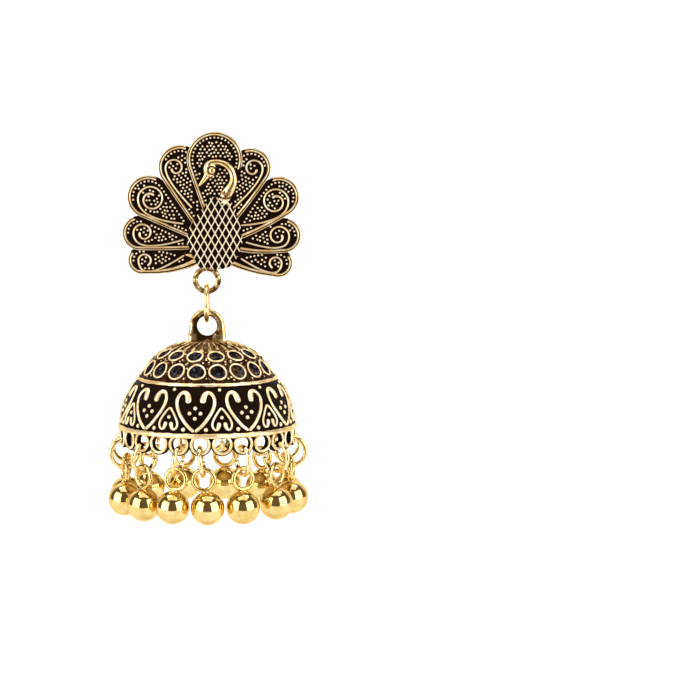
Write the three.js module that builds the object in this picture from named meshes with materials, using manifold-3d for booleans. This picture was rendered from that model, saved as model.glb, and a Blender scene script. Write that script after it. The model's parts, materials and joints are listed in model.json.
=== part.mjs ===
// A jhumka earring: a peacock stud plate, a jump ring, and a domed bell with thirteen bead drops.
// Millimetres, +Z up. The front faces -Y, and the viewer's right is +X.
// The origin is on the ear post's axis, at the back face of the plate.

import * as THREE from "three";
import { mergeVertices } from "three/addons/utils/BufferGeometryUtils.js";
import Module from "manifold-3d";

const wasm = await Module();
wasm.setup();

// Play
const LINK_GAP = 0.3; // between two wires that hang in each other
const BEAD_GAP = 0.3; // between the two beads that hang side by side

// Peacock plate
const FAN_WIDTH = 29.5; // across the widest feather lobes
const FAN_SHIFT = 0.8; // how far the middle of the fan lies right of the line that the bell hangs on
const FIELD_THICKNESS = 0.75; // metal under the dotted fields
const LAYER_STEP = 0.05; // how much higher each lobe lies than the one that it overlaps
const RIM_WIDTH = 0.55;
const RIM_HEIGHT = 0.35; // above the field
const SCROLL_WIDTH = 0.42;
const SCROLL_HEIGHT = 0.22; // above the field
const BODY_THICKNESS = 1.35;
const BODY_BEVEL = 0.25;
const LATTICE_PITCH = 1.2; // width of one diamond, from line to line
const LATTICE_RISE = 2.17; // height of one diamond
const LATTICE_LINE = 0.26;
const LATTICE_DEPTH = 0.3;
const NECK_HEIGHT = 0.62; // above its own middle line
const HEAD_DIAMETER = 2.18;
const HEAD_HEIGHT = 0.85; // above its own middle line
const BEAK_WIDTH = 0.95; // at the head
const BEAK_TIP_WIDTH = 0.2;
const FIGURE_LIFT = 1.05; // middle line of neck, head and beak, above the back of the plate
const LATTICE_FOOT = 1.5; // middle of the lowest whole diamonds, above the foot of the body
const LOOP_BORE = 2.9;
const LOOP_WIRE = 0.9;
const LOOP_SEAT = 0.45; // how deep the loop is let into the foot of the body
const HANG_DEPTH = 0.55; // middle of the loop's wire, in front of the back of the plate
const POST_DIAMETER = 0.9;
const POST_LENGTH = 11;
const POST_PAD_DIAMETER = 3.2;
const POST_PAD_THICKNESS = 0.4;

// Jump ring between plate and bell
const JUMP_BORE = 5.1;
const JUMP_WIRE = 0.8;

// Bell
const BELL_DIAMETER = 29;
const DOME_HEIGHT = 13.9; // from the top of the dome to the rim line
const BELL_WALL = 0.95;
const CROWN_THICKNESS = 1.3; // metal over the hollow, on the axis
const BAIL_BORE = 3.25;
const BAIL_WIRE = 1.3;
const BAIL_THICKNESS = 1.3;
const BAIL_FLARE = 0.3; // how far each leg widens down to the dome
const BAIL_SEAT = 0.95; // metal between the bore and the top of the dome
const BAIL_BEVEL = 0.25;
const BAIL_SINK = 0.8; // how deep the bail's foot is let into the crown
const RIDGE_HEIGHT = 0.3; // band line and rim line
const RIDGE_WIDTH = 0.6;
const BAND_DROP = 6; // from the top of the dome to the band line
const CAP_RIBS = 12;
const CAP_RIB_WIDTH = 0.75;
const CAP_RIB_HEIGHT = 0.25;
const CAP_RIB_START = 2.9; // distance from the axis along the dome
const CAP_RIB_END = 5.9;
const CAP_RIB_TAPER = 0.6; // width at the start as a share of the width at the end
const RELIEF_HEIGHT = 0.28; // hearts, above the dome
const CELL_DEPTH = 0.5; // round cells on the upper dome
const HEART_COUNT = 10;
const HEART_FIRST_DEG = -6; // from the front towards the viewer's right
const HEART_WIDTH = 7.6;
const HEART_HEIGHT = 7.25;
const HEART_WIRE = 0.62;
const HEART_CURL = 1.7; // width of the curled ends as a share of the line's width
const HEART_RISE = 0.35; // the heart's tip, above the rim line along the dome

// Pierced edge of the bell
const HOLE_COUNT = 25;
const HOLE_FIRST_DEG = -2.4;
const HOLE_DIAMETER = 2.3;
const HOLE_DROP = 1.45; // from the rim line to the middle of the holes
const HOLE_RING_WIDTH = 0.7; // metal round each hole, which scallops the edge
const NOTCH_FILL_DEG = 8; // how far round each scallop the notch between two is filled
const SKIRT_WALL = 0.75;
const SKIRT_INSET = 0.1; // the skirt's face, behind the bell's radius

// Bead drops
const DROP_COUNT = 13; // in every other hole, so the first and the last hang side by side
const DROP_BORE = 3.9;
const DROP_WIRE = 0.75;
const EYE_BORE = 2.6;
const EYE_WIRE = 0.8;
const BEAD_DIAMETER = 5.5;
const BEAD_SEAT = 0.15; // how deep the eye is let into the bead

// A raised line is a ridge whose foot is sunk this far into the metal under it.
const SINK = 0.14;
const CURL_START = 0.75; // share of the way along a heart's line at which its end begins to thicken
const STEM_SHARE = 0.3; // share of a scroll's steps that its stem takes
const SPIRAL_POWER = 1.5; // a scroll tightens slowly at first

// Facets
const LOBE_END_STEPS = 12;
const LOBE_SIDE_STEPS = 2;
const SCROLL_STEPS = 16;
const SKIRT_STEPS = 4;
const DOME_ROWS = 8;
const HOLLOW_ROWS = 6;
const BELL_SIDES = 30;
const HOLLOW_SIDES = 20;
const LOOP_SIDES = 6;
const LOOP_STEPS = 16;
const RING_STEPS = 12;
const LINK_STEPS = 10;
const LINK_SIDES = 5;

// A table's rows as objects with its named columns.
function table(columns, rows) {
  return rows.map((row) => Object.fromEntries(columns.map((column, i) => [column, row[i]])));
}

// Feather lobes from back to front. Places and radii are shares of FAN_WIDTH, from the middle of the
// fan: x and z of the round end and its radius, x and z of the root, and how far the sides bow out
// as a share of their length. Layers count up towards the front.
const LOBES = table(["name", "x", "z", "r", "rootX", "rootZ", "bow", "layer"], [
  ["left_5", -0.388, -0.333, 0.079, 0, -0.326, 0.07, 0],
  ["right_5", 0.374, -0.351, 0.079, 0.015, -0.322, 0.05, 0],
  ["left_4", -0.4005, -0.182, 0.096, 0, -0.268, 0.01, 1],
  ["right_4", 0.403, -0.196, 0.096, 0.022, -0.257, 0.05, 1],
  ["left_3", -0.349, 0.0195, 0.119, -0.029, -0.249, 0, 2],
  ["right_3", 0.378, 0.0195, 0.112, 0.072, -0.252, 0.03, 2],
  ["left_2", -0.172, 0.185, 0.122, -0.043, -0.223, 0, 3],
  ["right_2", 0.223, 0.181, 0.11, 0.058, -0.205, 0.02, 3],
  ["centre", 0.02, 0.227, 0.155, 0.02, -0.247, 0, 4],
]);

// Scrolls on the lobes, as shares of FAN_WIDTH: middle of the spiral, its radius where it starts and
// ends, start angle and sweep in degrees, foot of the stem, and how far the stem keeps the spiral's
// direction as a share of its length.
const SCROLLS = table(["lobe", "x", "z", "r0", "r1", "start", "sweep", "footX", "footZ", "ease"], [
  ["left_2", -0.2023, 0.1798, 0.0519, 0.0147, 188, -365, -0.1065, -0.0423, 0.27],
  ["left_3", -0.3356, 0.0071, 0.0733, 0.0237, 186, -500, -0.1537, -0.1304, 0.37],
  ["left_4", -0.3814, -0.1833, 0.0541, 0.0147, 186, -390, -0.1523, -0.2186, 0.4],
  ["left_5", -0.373, -0.337, 0.0361, 0.0316, 186, -250, -0.1523, -0.3067, 0.5],
  ["right_2", 0.2355, 0.1763, 0.0519, 0.0158, -8, 365, 0.1227, -0.0423, 0.27],
  ["right_3", 0.3567, -0.0071, 0.0733, 0.0237, -6, 500, 0.1629, -0.1396, 0.37],
  ["right_4", 0.3751, -0.2009, 0.0587, 0.0147, -6, 400, 0.1896, -0.2327, 0.42],
  ["right_5", 0.3567, -0.3525, 0.035, 0.0305, -8, 250, 0.1629, -0.3243, 0.48],
]);

// Outline of the peacock's body, anticlockwise from its neck, as shares of FAN_WIDTH.
const BODY_FOOT = -0.3821;
const BODY_OUTLINE = table(["x", "z"], [
  [0.0028, 0.0197],
  [-0.0451, -0.0423],
  [-0.0818, -0.0846],
  [-0.1135, -0.134],
  [-0.1396, -0.1974],
  [-0.1325, -0.2609],
  [-0.0959, -0.3314],
  [-0.0522, BODY_FOOT],
  [0.0719, BODY_FOOT],
  [0.1262, -0.3455],
  [0.165, -0.2679],
  [0.1734, -0.2115],
  [0.1579, -0.1269],
  [0.1332, -0.0423],
  [0.105, -0.0071],
]);

// Middle line of the neck from the head down to the body, and its width there, as shares of FAN_WIDTH.
const NECK = [
  { x: -0.0056, z: 0.2076, width: 0.0338 },
  { x: 0.0197, z: 0.2149, width: 0.0338 },
  { x: 0.0508, z: 0.2126, width: 0.0338 },
  { x: 0.0931, z: 0.1929, width: 0.0384 },
  { x: 0.1184, z: 0.1551, width: 0.0406 },
  { x: 0.1241, z: 0.1128, width: 0.0435 },
  { x: 0.1, z: 0.064, width: 0.06 },
  { x: 0.068, z: 0.022, width: 0.08 },
];
const HEAD = { x: -0.0079, z: 0.1703 };
const BEAK = [
  { x: -0.0165, z: 0.1601 },
  { x: -0.0338, z: 0.1241 },
  { x: -0.0705, z: 0.079 },
];

// Outline of the dome: "down" is a share of DOME_HEIGHT and "out" a share of the bell's radius.
const DOME = [
  { down: 0, out: 0 },
  { down: 0.006, out: 0.18 },
  { down: 0.043, out: 0.364 },
  { down: 0.101, out: 0.495 },
  { down: 0.18, out: 0.602 },
  { down: 0.273, out: 0.681 },
  { down: 0.403, out: 0.763 },
  { down: 0.561, out: 0.876 },
  { down: 0.691, out: 0.931 },
  { down: 0.799, out: 0.966 },
  { down: 0.914, out: 0.99 },
  { down: 1, out: 1 },
];

// Rows of round cells on the dome: "down" is a share of DOME_HEIGHT, and "first" is in degrees from the
// front towards the viewer's right.
const CELL_ROWS = [
  { count: 14, first: -12.6, down: 0.122, diameter: 2.6 },
  { count: 18, first: -7.6, down: 0.288, diameter: 2.8 },
];

// Right half of a large heart, from its tip: shares of half its width and of its height.
const HEART_HALF = [
  { out: 0.02, up: 0 },
  { out: 0.4, up: 0.28 },
  { out: 0.77, up: 0.56 },
  { out: 0.95, up: 0.76 },
  { out: 0.94, up: 0.89 },
  { out: 0.72, up: 0.99 },
  { out: 0.46, up: 0.94 },
  { out: 0.38, up: 0.8 },
];

const rad = THREE.MathUtils.degToRad;
const span = (value) => value * FAN_WIDTH;

// Angles that divide a whole turn, from the front towards the viewer's right.
function roundFrom(count, firstDeg) {
  return Array.from({ length: count }, (_, i) => rad(firstDeg + (i * 360) / count));
}

// Solids and meshes

function solidOf(geometry) {
  const bare = geometry.clone();
  bare.deleteAttribute("normal");
  bare.deleteAttribute("uv");
  const merged = mergeVertices(bare, 1e-4);
  return new wasm.Manifold(
    new wasm.Mesh({
      numProp: 3,
      vertProperties: merged.attributes.position.array,
      triVerts: new Uint32Array(merged.index.array),
    }),
  );
}

function meshOf(name, solid, material) {
  const made = solid.getMesh();
  const geometry = new THREE.BufferGeometry();
  geometry.setAttribute("position", new THREE.BufferAttribute(made.vertProperties, 3));
  geometry.setIndex(new THREE.BufferAttribute(made.triVerts, 1));
  geometry.computeVertexNormals();
  const mesh = new THREE.Mesh(geometry, material);
  mesh.name = name;
  return mesh;
}

function prism(shape, from, to) {
  const geometry = new THREE.ExtrudeGeometry(shape, { depth: to - from, bevelEnabled: false });
  return solidOf(geometry.translate(0, 0, from));
}

// A rod laid along a flat curve: half its width and half its height are functions of the way along.
function wire(curve, steps, sides, halfWidth, halfHeight, lift = 0) {
  const rod = new THREE.CylinderGeometry(1, 1, 1, sides, steps);
  const at = rod.attributes.position;
  for (let i = 0; i < at.count; i++) {
    const t = THREE.MathUtils.clamp(at.getY(i) + 0.5, 0, 1);
    const middle = curve.getPointAt(t);
    const along = curve.getTangentAt(t);
    const side = at.getX(i) * halfWidth(t);
    at.setXYZ(i, middle.x + along.y * side, middle.y - along.x * side, lift + at.getZ(i) * halfHeight(t));
  }
  return rod;
}

// Half the width of a ridge at its sunk foot, where it is to be so wide at the surface.
function footHalf(line, height) {
  return ((line / 2) * (height + SINK)) / height;
}

function splineOf(rows) {
  return new THREE.SplineCurve(rows.map(([x, y]) => new THREE.Vector2(x, y)));
}

// Materials

const antiqueGold = new THREE.MeshStandardMaterial({ color: 0xa87c34, roughness: 0.38, metalness: 1 });
const brightGold = new THREE.MeshStandardMaterial({ color: 0xe3b355, roughness: 0.12, metalness: 1 });
const goldWire = new THREE.MeshStandardMaterial({ color: 0xdcb878, roughness: 0.25, metalness: 1 });

// Peacock plate, drawn with x to the right, y up and z towards the viewer

// Round end and two bowed sides down to the root. An inset outline is the same one drawn smaller
// about the middle of the round end, which keeps its sides parallel.
function lobeShape(lobe, inset) {
  const middle = new THREE.Vector2(span(lobe.x), span(lobe.z));
  const radius = span(lobe.r) - inset;
  const root = new THREE.Vector2(span(lobe.rootX), span(lobe.rootZ));
  root.sub(middle).multiplyScalar(radius / span(lobe.r)).add(middle);
  const toRoot = root.clone().sub(middle);
  const half = Math.acos(radius / toRoot.length());
  const start = toRoot.angle() + half;
  const end = toRoot.angle() - half + 2 * Math.PI;
  const unit = (angle) => new THREE.Vector2(Math.cos(angle), Math.sin(angle));
  const onArc = (angle) => unit(angle).multiplyScalar(radius).add(middle);
  const bowed = (from, to) => {
    const chord = to.clone().sub(from);
    const outward = new THREE.Vector2(chord.y, -chord.x).multiplyScalar(2 * lobe.bow);
    return from.clone().add(to).multiplyScalar(0.5).add(outward);
  };
  const first = onArc(start);
  const last = onArc(end);
  const roundEnd = new THREE.EllipseCurve(middle.x, middle.y, radius, radius, start, end);
  const down = new THREE.QuadraticBezierCurve(last, bowed(last, root), root);
  const up = new THREE.QuadraticBezierCurve(root, bowed(root, first), first);
  return new THREE.Shape([
    ...roundEnd.getPoints(LOBE_END_STEPS),
    ...down.getPoints(LOBE_SIDE_STEPS).slice(1),
    ...up.getPoints(LOBE_SIDE_STEPS).slice(1, -1),
  ]);
}

// A stem that runs into a spiral.
class ScrollCurve extends THREE.Curve {
  constructor(row) {
    super();
    this.row = row;
    this.foot = new THREE.Vector2(span(row.footX), span(row.footZ));
    this.join = this.spiral(0);
    const back = this.join.clone().sub(this.spiral(0.01)).normalize();
    const reach = this.foot.distanceTo(this.join) * row.ease;
    this.bend = this.join.clone().add(back.multiplyScalar(reach));
  }

  spiral(t) {
    const { x, z, r0, r1, start, sweep } = this.row;
    const angle = rad(start + sweep * t);
    const radius = THREE.MathUtils.lerp(r0, r1, t ** SPIRAL_POWER);
    return new THREE.Vector2(span(x + radius * Math.cos(angle)), span(z + radius * Math.sin(angle)));
  }

  getPoint(t) {
    if (t >= STEM_SHARE) return this.spiral((t - STEM_SHARE) / (1 - STEM_SHARE));
    return new THREE.QuadraticBezierCurve(this.foot, this.bend, this.join).getPoint(t / STEM_SHARE);
  }
}

function scrollSolid(scroll, field) {
  const half = () => footHalf(SCROLL_WIDTH, SCROLL_HEIGHT);
  const height = () => SCROLL_HEIGHT + SINK;
  return solidOf(wire(new ScrollCurve(scroll), SCROLL_STEPS, 4, half, height, field - SINK));
}

function bodyCurve() {
  const points = BODY_OUTLINE.map((row) => new THREE.Vector3(span(row.x), span(row.z), 0));
  return new THREE.CatmullRomCurve3(points, true);
}

function bodySolid() {
  const outline = bodyCurve().getSpacedPoints(2 * BODY_OUTLINE.length).slice(0, -1);
  const shape = new THREE.Shape(outline.map((p) => new THREE.Vector2(p.x, p.y)));
  const geometry = new THREE.ExtrudeGeometry(shape, {
    depth: BODY_THICKNESS - BODY_BEVEL,
    bevelThickness: BODY_BEVEL,
    bevelSize: BODY_BEVEL,
    bevelOffset: -BODY_BEVEL,
    bevelSegments: 1,
  });
  const bevelled = solidOf(geometry);
  const backBevel = new THREE.BoxGeometry(FAN_WIDTH, FAN_WIDTH, BODY_BEVEL * 2).translate(0, 0, -BODY_BEVEL);
  return bevelled.subtract(solidOf(backBevel));
}

// One diamond pocket of the lattice.
function diamond(x, y) {
  const pocket = new THREE.CylinderGeometry(1, 1, LATTICE_DEPTH * 2, 4);
  pocket.rotateX(Math.PI / 2);
  const slope = Math.hypot(LATTICE_PITCH, LATTICE_RISE);
  const line = LATTICE_LINE * slope;
  const halfWidth = LATTICE_PITCH / 2 - line / (2 * LATTICE_RISE);
  pocket.scale(halfWidth, halfWidth * (LATTICE_RISE / LATTICE_PITCH), 1);
  return pocket.translate(x, y, BODY_THICKNESS);
}

// Rows of diamonds, each set off by half a diamond, where a whole one fits inside the body.
function latticePockets() {
  const outline = bodyCurve().getSpacedPoints(60);
  const inside = (x, y) => {
    let within = false;
    outline.forEach((a, i) => {
      const b = outline[(i + 1) % outline.length];
      if (a.y > y !== b.y > y && x < ((b.x - a.x) * (y - a.y)) / (b.y - a.y) + a.x) within = !within;
    });
    return within;
  };
  const margin = BODY_BEVEL + LATTICE_LINE / 2;
  const reachX = LATTICE_PITCH / 2 + margin;
  const reachY = LATTICE_RISE / 2 + margin;
  const fits = (x, y) =>
    inside(x - reachX, y) && inside(x + reachX, y) && inside(x, y - reachY) && inside(x, y + reachY);
  const pockets = [];
  const rows = Math.ceil(FAN_WIDTH / LATTICE_RISE);
  for (let row = -rows; row <= rows; row++) {
    const y = span(BODY_FOOT) + LATTICE_FOOT + (row * LATTICE_RISE) / 2;
    for (let column = -rows; column <= rows; column++) {
      const x = (column + (row % 2 ? 0.5 : 0)) * LATTICE_PITCH;
      if (fits(x, y)) pockets.push(solidOf(diamond(x, y)));
    }
  }
  return pockets;
}

function figureSolids() {
  const neckLine = splineOf(NECK.map((row) => [span(row.x), span(row.z)]));
  const widths = new THREE.SplineCurve(NECK.map((row, i) => new THREE.Vector2(i, span(row.width))));
  const neck = wire(neckLine, 9, 6, (t) => widths.getPoint(t).y / 2, () => NECK_HEIGHT, FIGURE_LIFT);
  const head = new THREE.SphereGeometry(HEAD_DIAMETER / 2, 10, 5);
  head.scale(1, 1, HEAD_HEIGHT / (HEAD_DIAMETER / 2)).translate(span(HEAD.x), span(HEAD.z), FIGURE_LIFT);
  const beakLine = splineOf(BEAK.map((row) => [span(row.x), span(row.z)]));
  const beakHalf = (t) => THREE.MathUtils.lerp(BEAK_WIDTH, BEAK_TIP_WIDTH, t) / 2;
  const beak = wire(beakLine, 3, 6, beakHalf, beakHalf, FIGURE_LIFT);
  return [neck, head, beak].map(solidOf);
}

const loopRadius = (LOOP_BORE + LOOP_WIRE) / 2;
const loopMiddle = span(BODY_FOOT) + LOOP_SEAT - LOOP_BORE / 2 - LOOP_WIRE;

function fittingSolids() {
  const loop = new THREE.TorusGeometry(loopRadius, LOOP_WIRE / 2, LOOP_SIDES, LOOP_STEPS);
  loop.translate(-FAN_SHIFT, loopMiddle, HANG_DEPTH);
  const padRadius = POST_PAD_DIAMETER / 2;
  const pad = new THREE.CylinderGeometry(padRadius, padRadius, POST_PAD_THICKNESS * 2, 16);
  const post = new THREE.CylinderGeometry(POST_DIAMETER / 2, POST_DIAMETER / 2, POST_LENGTH, 10, 1);
  post.translate(0, -POST_LENGTH / 2, 0);
  const tip = new THREE.ConeGeometry(POST_DIAMETER / 2, POST_DIAMETER / 2, 10).rotateX(Math.PI);
  tip.translate(0, -POST_LENGTH - POST_DIAMETER / 4, 0);
  const pin = [pad, post, tip].map((piece) => piece.rotateX(Math.PI / 2).translate(-FAN_SHIFT, 0, 0));
  return [loop, ...pin].map(solidOf);
}

function plateMesh() {
  let plate = null;
  for (const lobe of LOBES) {
    const field = FIELD_THICKNESS + LAYER_STEP * lobe.layer;
    const block = prism(lobeShape(lobe, 0), 0, field + RIM_HEIGHT);
    plate = plate ? plate.add(block) : block;
    plate = plate.subtract(prism(lobeShape(lobe, RIM_WIDTH), field, field + BODY_THICKNESS));
    const scroll = SCROLLS.find((row) => row.lobe === lobe.name);
    if (scroll) plate = plate.add(scrollSolid(scroll, field));
  }
  plate = plate.add(bodySolid());
  for (const pocket of latticePockets()) plate = plate.subtract(pocket);
  for (const piece of [...figureSolids(), ...fittingSolids()]) plate = plate.add(piece);
  const mesh = meshOf("peacock_plate", plate, antiqueGold);
  mesh.rotation.x = Math.PI / 2;
  mesh.position.x = FAN_SHIFT;
  return mesh;
}

// Jump ring, hung in the plate's loop

const jumpRadius = (JUMP_BORE + JUMP_WIRE) / 2;
const jumpTop = loopMiddle - loopRadius + (LOOP_WIRE + JUMP_WIRE) / 2 + LINK_GAP;
const jumpMiddle = jumpTop - jumpRadius;

function jumpRingMesh() {
  const ring = new THREE.TorusGeometry(jumpRadius, JUMP_WIRE / 2, LOOP_SIDES, RING_STEPS)
    .rotateZ(Math.PI / RING_STEPS)
    .rotateY(Math.PI / 2);
  const mesh = meshOf("upper_jump_ring", solidOf(ring), goldWire);
  mesh.position.set(0, -HANG_DEPTH, jumpMiddle);
  return mesh;
}

// Bell, drawn about its own axis with the top of the dome at the origin

const bailRadius = (BAIL_BORE + BAIL_WIRE) / 2;
const bailMiddle = jumpMiddle - jumpRadius + (JUMP_WIRE + BAIL_WIRE) / 2 + LINK_GAP - bailRadius;
const domeTop = bailMiddle - BAIL_BORE / 2 - BAIL_SEAT;
const bellRadius = BELL_DIAMETER / 2;

const domeLine = splineOf(DOME.map((row) => [row.out * bellRadius, -row.down * DOME_HEIGHT]));
const domeSlant = domeLine.getLength();

// The way along the dome, from its top, at which it has dropped so far.
function slantAt(drop) {
  let low = 0;
  let high = 1;
  for (let i = 0; i < 30; i++) {
    const middle = (low + high) / 2;
    if (-domeLine.getPointAt(middle).y < drop) low = middle;
    else high = middle;
  }
  return low * domeSlant;
}

// A point at an angle from the front, so far along the dome, and so far above its surface.
function onDome(angle, slant, lift) {
  const t = THREE.MathUtils.clamp(slant / domeSlant, 0, 1);
  const p = domeLine.getPointAt(t);
  const along = domeLine.getTangentAt(t);
  const out = p.x - along.y * lift;
  return new THREE.Vector3(out * Math.sin(angle), -out * Math.cos(angle), p.y + along.x * lift);
}

// Lays a flat piece on the dome: its x runs round the dome and its y up the dome.
function wrap(geometry, angle, slant) {
  const reference = domeLine.getPointAt(Math.min(slant / domeSlant, 1)).x;
  const at = geometry.attributes.position;
  for (let i = 0; i < at.count; i++) {
    const p = onDome(angle + at.getX(i) / reference, slant - at.getY(i), at.getZ(i));
    at.setXYZ(i, p.x, p.y, p.z);
  }
  return geometry;
}

function ridge(drop, radius) {
  return [
    [radius - RIDGE_WIDTH / 4, -drop + RIDGE_WIDTH / 2],
    [radius + RIDGE_HEIGHT, -drop],
    [radius, -drop - RIDGE_WIDTH / 2],
  ];
}

function shellSolid() {
  const onLine = domeLine.getSpacedPoints(DOME_ROWS).map((p) => [p.x, p.y]);
  const clearOf = (drop) => (row) => Math.abs(-row[1] - drop) > RIDGE_WIDTH;
  const rows = onLine.filter(clearOf(BAND_DROP)).filter(clearOf(DOME_HEIGHT));
  const bandRadius = domeLine.getPointAt(slantAt(BAND_DROP) / domeSlant).x;
  const outer = [
    ...rows.filter((row) => -row[1] < BAND_DROP),
    ...ridge(BAND_DROP, bandRadius),
    ...rows.filter((row) => -row[1] > BAND_DROP),
    ...ridge(DOME_HEIGHT, bellRadius),
    [0, -DOME_HEIGHT - RIDGE_WIDTH / 2],
  ];
  const underLine = domeLine.getSpacedPoints(HOLLOW_ROWS).map((p) => [p.x, p.y])
    .filter((row) => row[0] > BELL_WALL * 3 && -row[1] < DOME_HEIGHT - BELL_WALL)
    .map((row, i, near) => {
      const [before, after] = [near[Math.max(i - 1, 0)], near[Math.min(i + 1, near.length - 1)]];
      const along = new THREE.Vector2(after[0] - before[0], after[1] - before[1]).normalize();
      return [row[0] + along.y * BELL_WALL, Math.min(row[1] - along.x * BELL_WALL, -CROWN_THICKNESS)];
    });
  const mouth = bellRadius - BELL_WALL;
  const hollow = [[0, -CROWN_THICKNESS], ...underLine, [mouth, -DOME_HEIGHT], [mouth, -DOME_HEIGHT - 1],
    [0, -DOME_HEIGHT - 1]];
  return lathe(outer, BELL_SIDES).subtract(lathe(hollow, HOLLOW_SIDES));
}

// Profiles run from the top of the axis down to its foot.
function lathe(profile, sides) {
  const points = profile.map(([r, z]) => new THREE.Vector2(r, z)).reverse();
  return solidOf(new THREE.LatheGeometry(points, sides).rotateX(Math.PI / 2));
}

const holeMiddle = -(DOME_HEIGHT + HOLE_DROP);
const edgeRadius = bellRadius - SKIRT_INSET - SKIRT_WALL / 2;
const holeAngle = (index) => rad(HOLE_FIRST_DEG + (index * 360) / HOLE_COUNT);

// One tile of the skirt, drawn flat: a hole over its scallop, from the middle of one notch to the next.
function skirtTile(pitch) {
  const scallop = HOLE_DIAMETER / 2 + HOLE_RING_WIDTH;
  const notch = Math.acos(Math.min(pitch / 2 / scallop, 1)) + rad(NOTCH_FILL_DEG);
  const notchDrop = -scallop * Math.sin(notch);
  const shape = new THREE.Shape();
  shape.moveTo(0, HOLE_DROP);
  shape.lineTo(0, notchDrop);
  shape.absarc(pitch / 2, 0, scallop, Math.PI + notch, 2 * Math.PI - notch, false);
  shape.lineTo(pitch, notchDrop);
  shape.lineTo(pitch, HOLE_DROP);
  const hole = new THREE.Path();
  hole.absarc(pitch / 2, 0, HOLE_DIAMETER / 2, 0, 2 * Math.PI, true);
  shape.holes.push(hole);
  const options = { depth: SKIRT_WALL, bevelEnabled: false, curveSegments: SKIRT_STEPS };
  return new THREE.ExtrudeGeometry(shape, options).translate(0, 0, -SKIRT_WALL / 2);
}

// Tiles bent round one after another. They meet edge to edge, so the walls between them are left out.
function skirtSolid() {
  const step = (2 * Math.PI) / HOLE_COUNT;
  const pitch = Math.fround(step * edgeRadius);
  const at = skirtTile(pitch).attributes.position;
  const corners = [];
  for (let tile = 0; tile < HOLE_COUNT; tile++) {
    for (let i = 0; i < at.count; i += 3) {
      const shares = [i, i + 1, i + 2].map((corner) => at.getX(corner) / pitch);
      if (shares.every((share) => share === 0) || shares.every((share) => share === 1)) continue;
      shares.forEach((share, k) => {
        const angle = rad(HOLE_FIRST_DEG) + (((tile + share) % HOLE_COUNT) - 0.5) * step;
        const out = edgeRadius + at.getZ(i + k);
        corners.push(out * Math.sin(angle), -out * Math.cos(angle), holeMiddle + at.getY(i + k));
      });
    }
  }
  const bent = new THREE.BufferGeometry();
  return solidOf(bent.setAttribute("position", new THREE.Float32BufferAttribute(corners, 3)));
}

function bailSolid() {
  const middle = BAIL_BORE / 2 + BAIL_SEAT;
  const outer = bailRadius + BAIL_WIRE / 2;
  const shape = new THREE.Shape();
  shape.moveTo(-outer - BAIL_FLARE, -BAIL_SINK);
  shape.lineTo(outer + BAIL_FLARE, -BAIL_SINK);
  shape.lineTo(outer, middle);
  shape.absarc(0, middle, outer, 0, Math.PI, false);
  const bore = new THREE.Path();
  bore.absarc(0, middle, BAIL_BORE / 2, 0, 2 * Math.PI, true);
  const blank = new THREE.ExtrudeGeometry(shape, {
    depth: BAIL_THICKNESS - 2 * BAIL_BEVEL,
    bevelThickness: BAIL_BEVEL,
    bevelSize: BAIL_BEVEL,
    bevelOffset: -BAIL_BEVEL,
    bevelSegments: 1,
    curveSegments: 6,
  });
  blank.translate(0, 0, BAIL_BEVEL - BAIL_THICKNESS / 2).rotateX(Math.PI / 2);
  const drill = new THREE.CylinderGeometry(BAIL_BORE / 2, BAIL_BORE / 2, BAIL_THICKNESS * 2, 14);
  return solidOf(blank).subtract(solidOf(drill.translate(0, 0, middle)));
}

// Dished cells, each a cone whose point is the bottom of the dish.
function cellSolids() {
  return CELL_ROWS.flatMap((row) => {
    const slant = slantAt(row.down * DOME_HEIGHT);
    return roundFrom(row.count, row.first).map((angle) => {
      const dish = new THREE.ConeGeometry(row.diameter, CELL_DEPTH * 2, 8).rotateX(-Math.PI / 2);
      return solidOf(wrap(dish, angle, slant));
    });
  });
}

// Both halves of each heart, whose curled end is thicker than its line.
function heartSolids() {
  const slant = domeSlant - HEART_RISE;
  const foot = footHalf(HEART_WIRE, RELIEF_HEIGHT);
  const curl = (t) => THREE.MathUtils.smoothstep(t, CURL_START, 1);
  const half = (t) => foot * THREE.MathUtils.lerp(1, HEART_CURL, curl(t));
  const angles = roundFrom(HEART_COUNT, HEART_FIRST_DEG);
  return angles.flatMap((angle) =>
    [1, -1].map((side) => {
      const curve = splineOf(HEART_HALF.map((row) => [
        (side * row.out * (HEART_WIDTH - HEART_WIRE)) / 2,
        row.up * (HEART_HEIGHT - HEART_WIRE) + HEART_WIRE / 2,
      ]));
      const flat = wire(curve, 6, 4, half, () => RELIEF_HEIGHT + SINK, -SINK);
      return solidOf(wrap(flat, angle, slant));
    }),
  );
}

function ribSolids() {
  return roundFrom(CAP_RIBS, 180 / CAP_RIBS).map((angle) => {
    const end = new THREE.Vector2(0, CAP_RIB_START - CAP_RIB_END);
    const curve = new THREE.LineCurve(new THREE.Vector2(), end);
    const half = (t) => footHalf(CAP_RIB_WIDTH, CAP_RIB_HEIGHT) * THREE.MathUtils.lerp(CAP_RIB_TAPER, 1, t);
    const rib = wire(curve, 1, 4, half, () => CAP_RIB_HEIGHT + SINK, -SINK);
    return solidOf(wrap(rib, angle, CAP_RIB_START));
  });
}

function bellMesh() {
  let bell = shellSolid().add(skirtSolid());
  for (const cell of cellSolids()) bell = bell.subtract(cell);
  for (const piece of [bailSolid(), ...ribSolids(), ...heartSolids()]) bell = bell.add(piece);
  return meshOf("bell", bell, antiqueGold);
}

// Bead drops, drawn with the bottom edge of their hole at the origin

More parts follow.
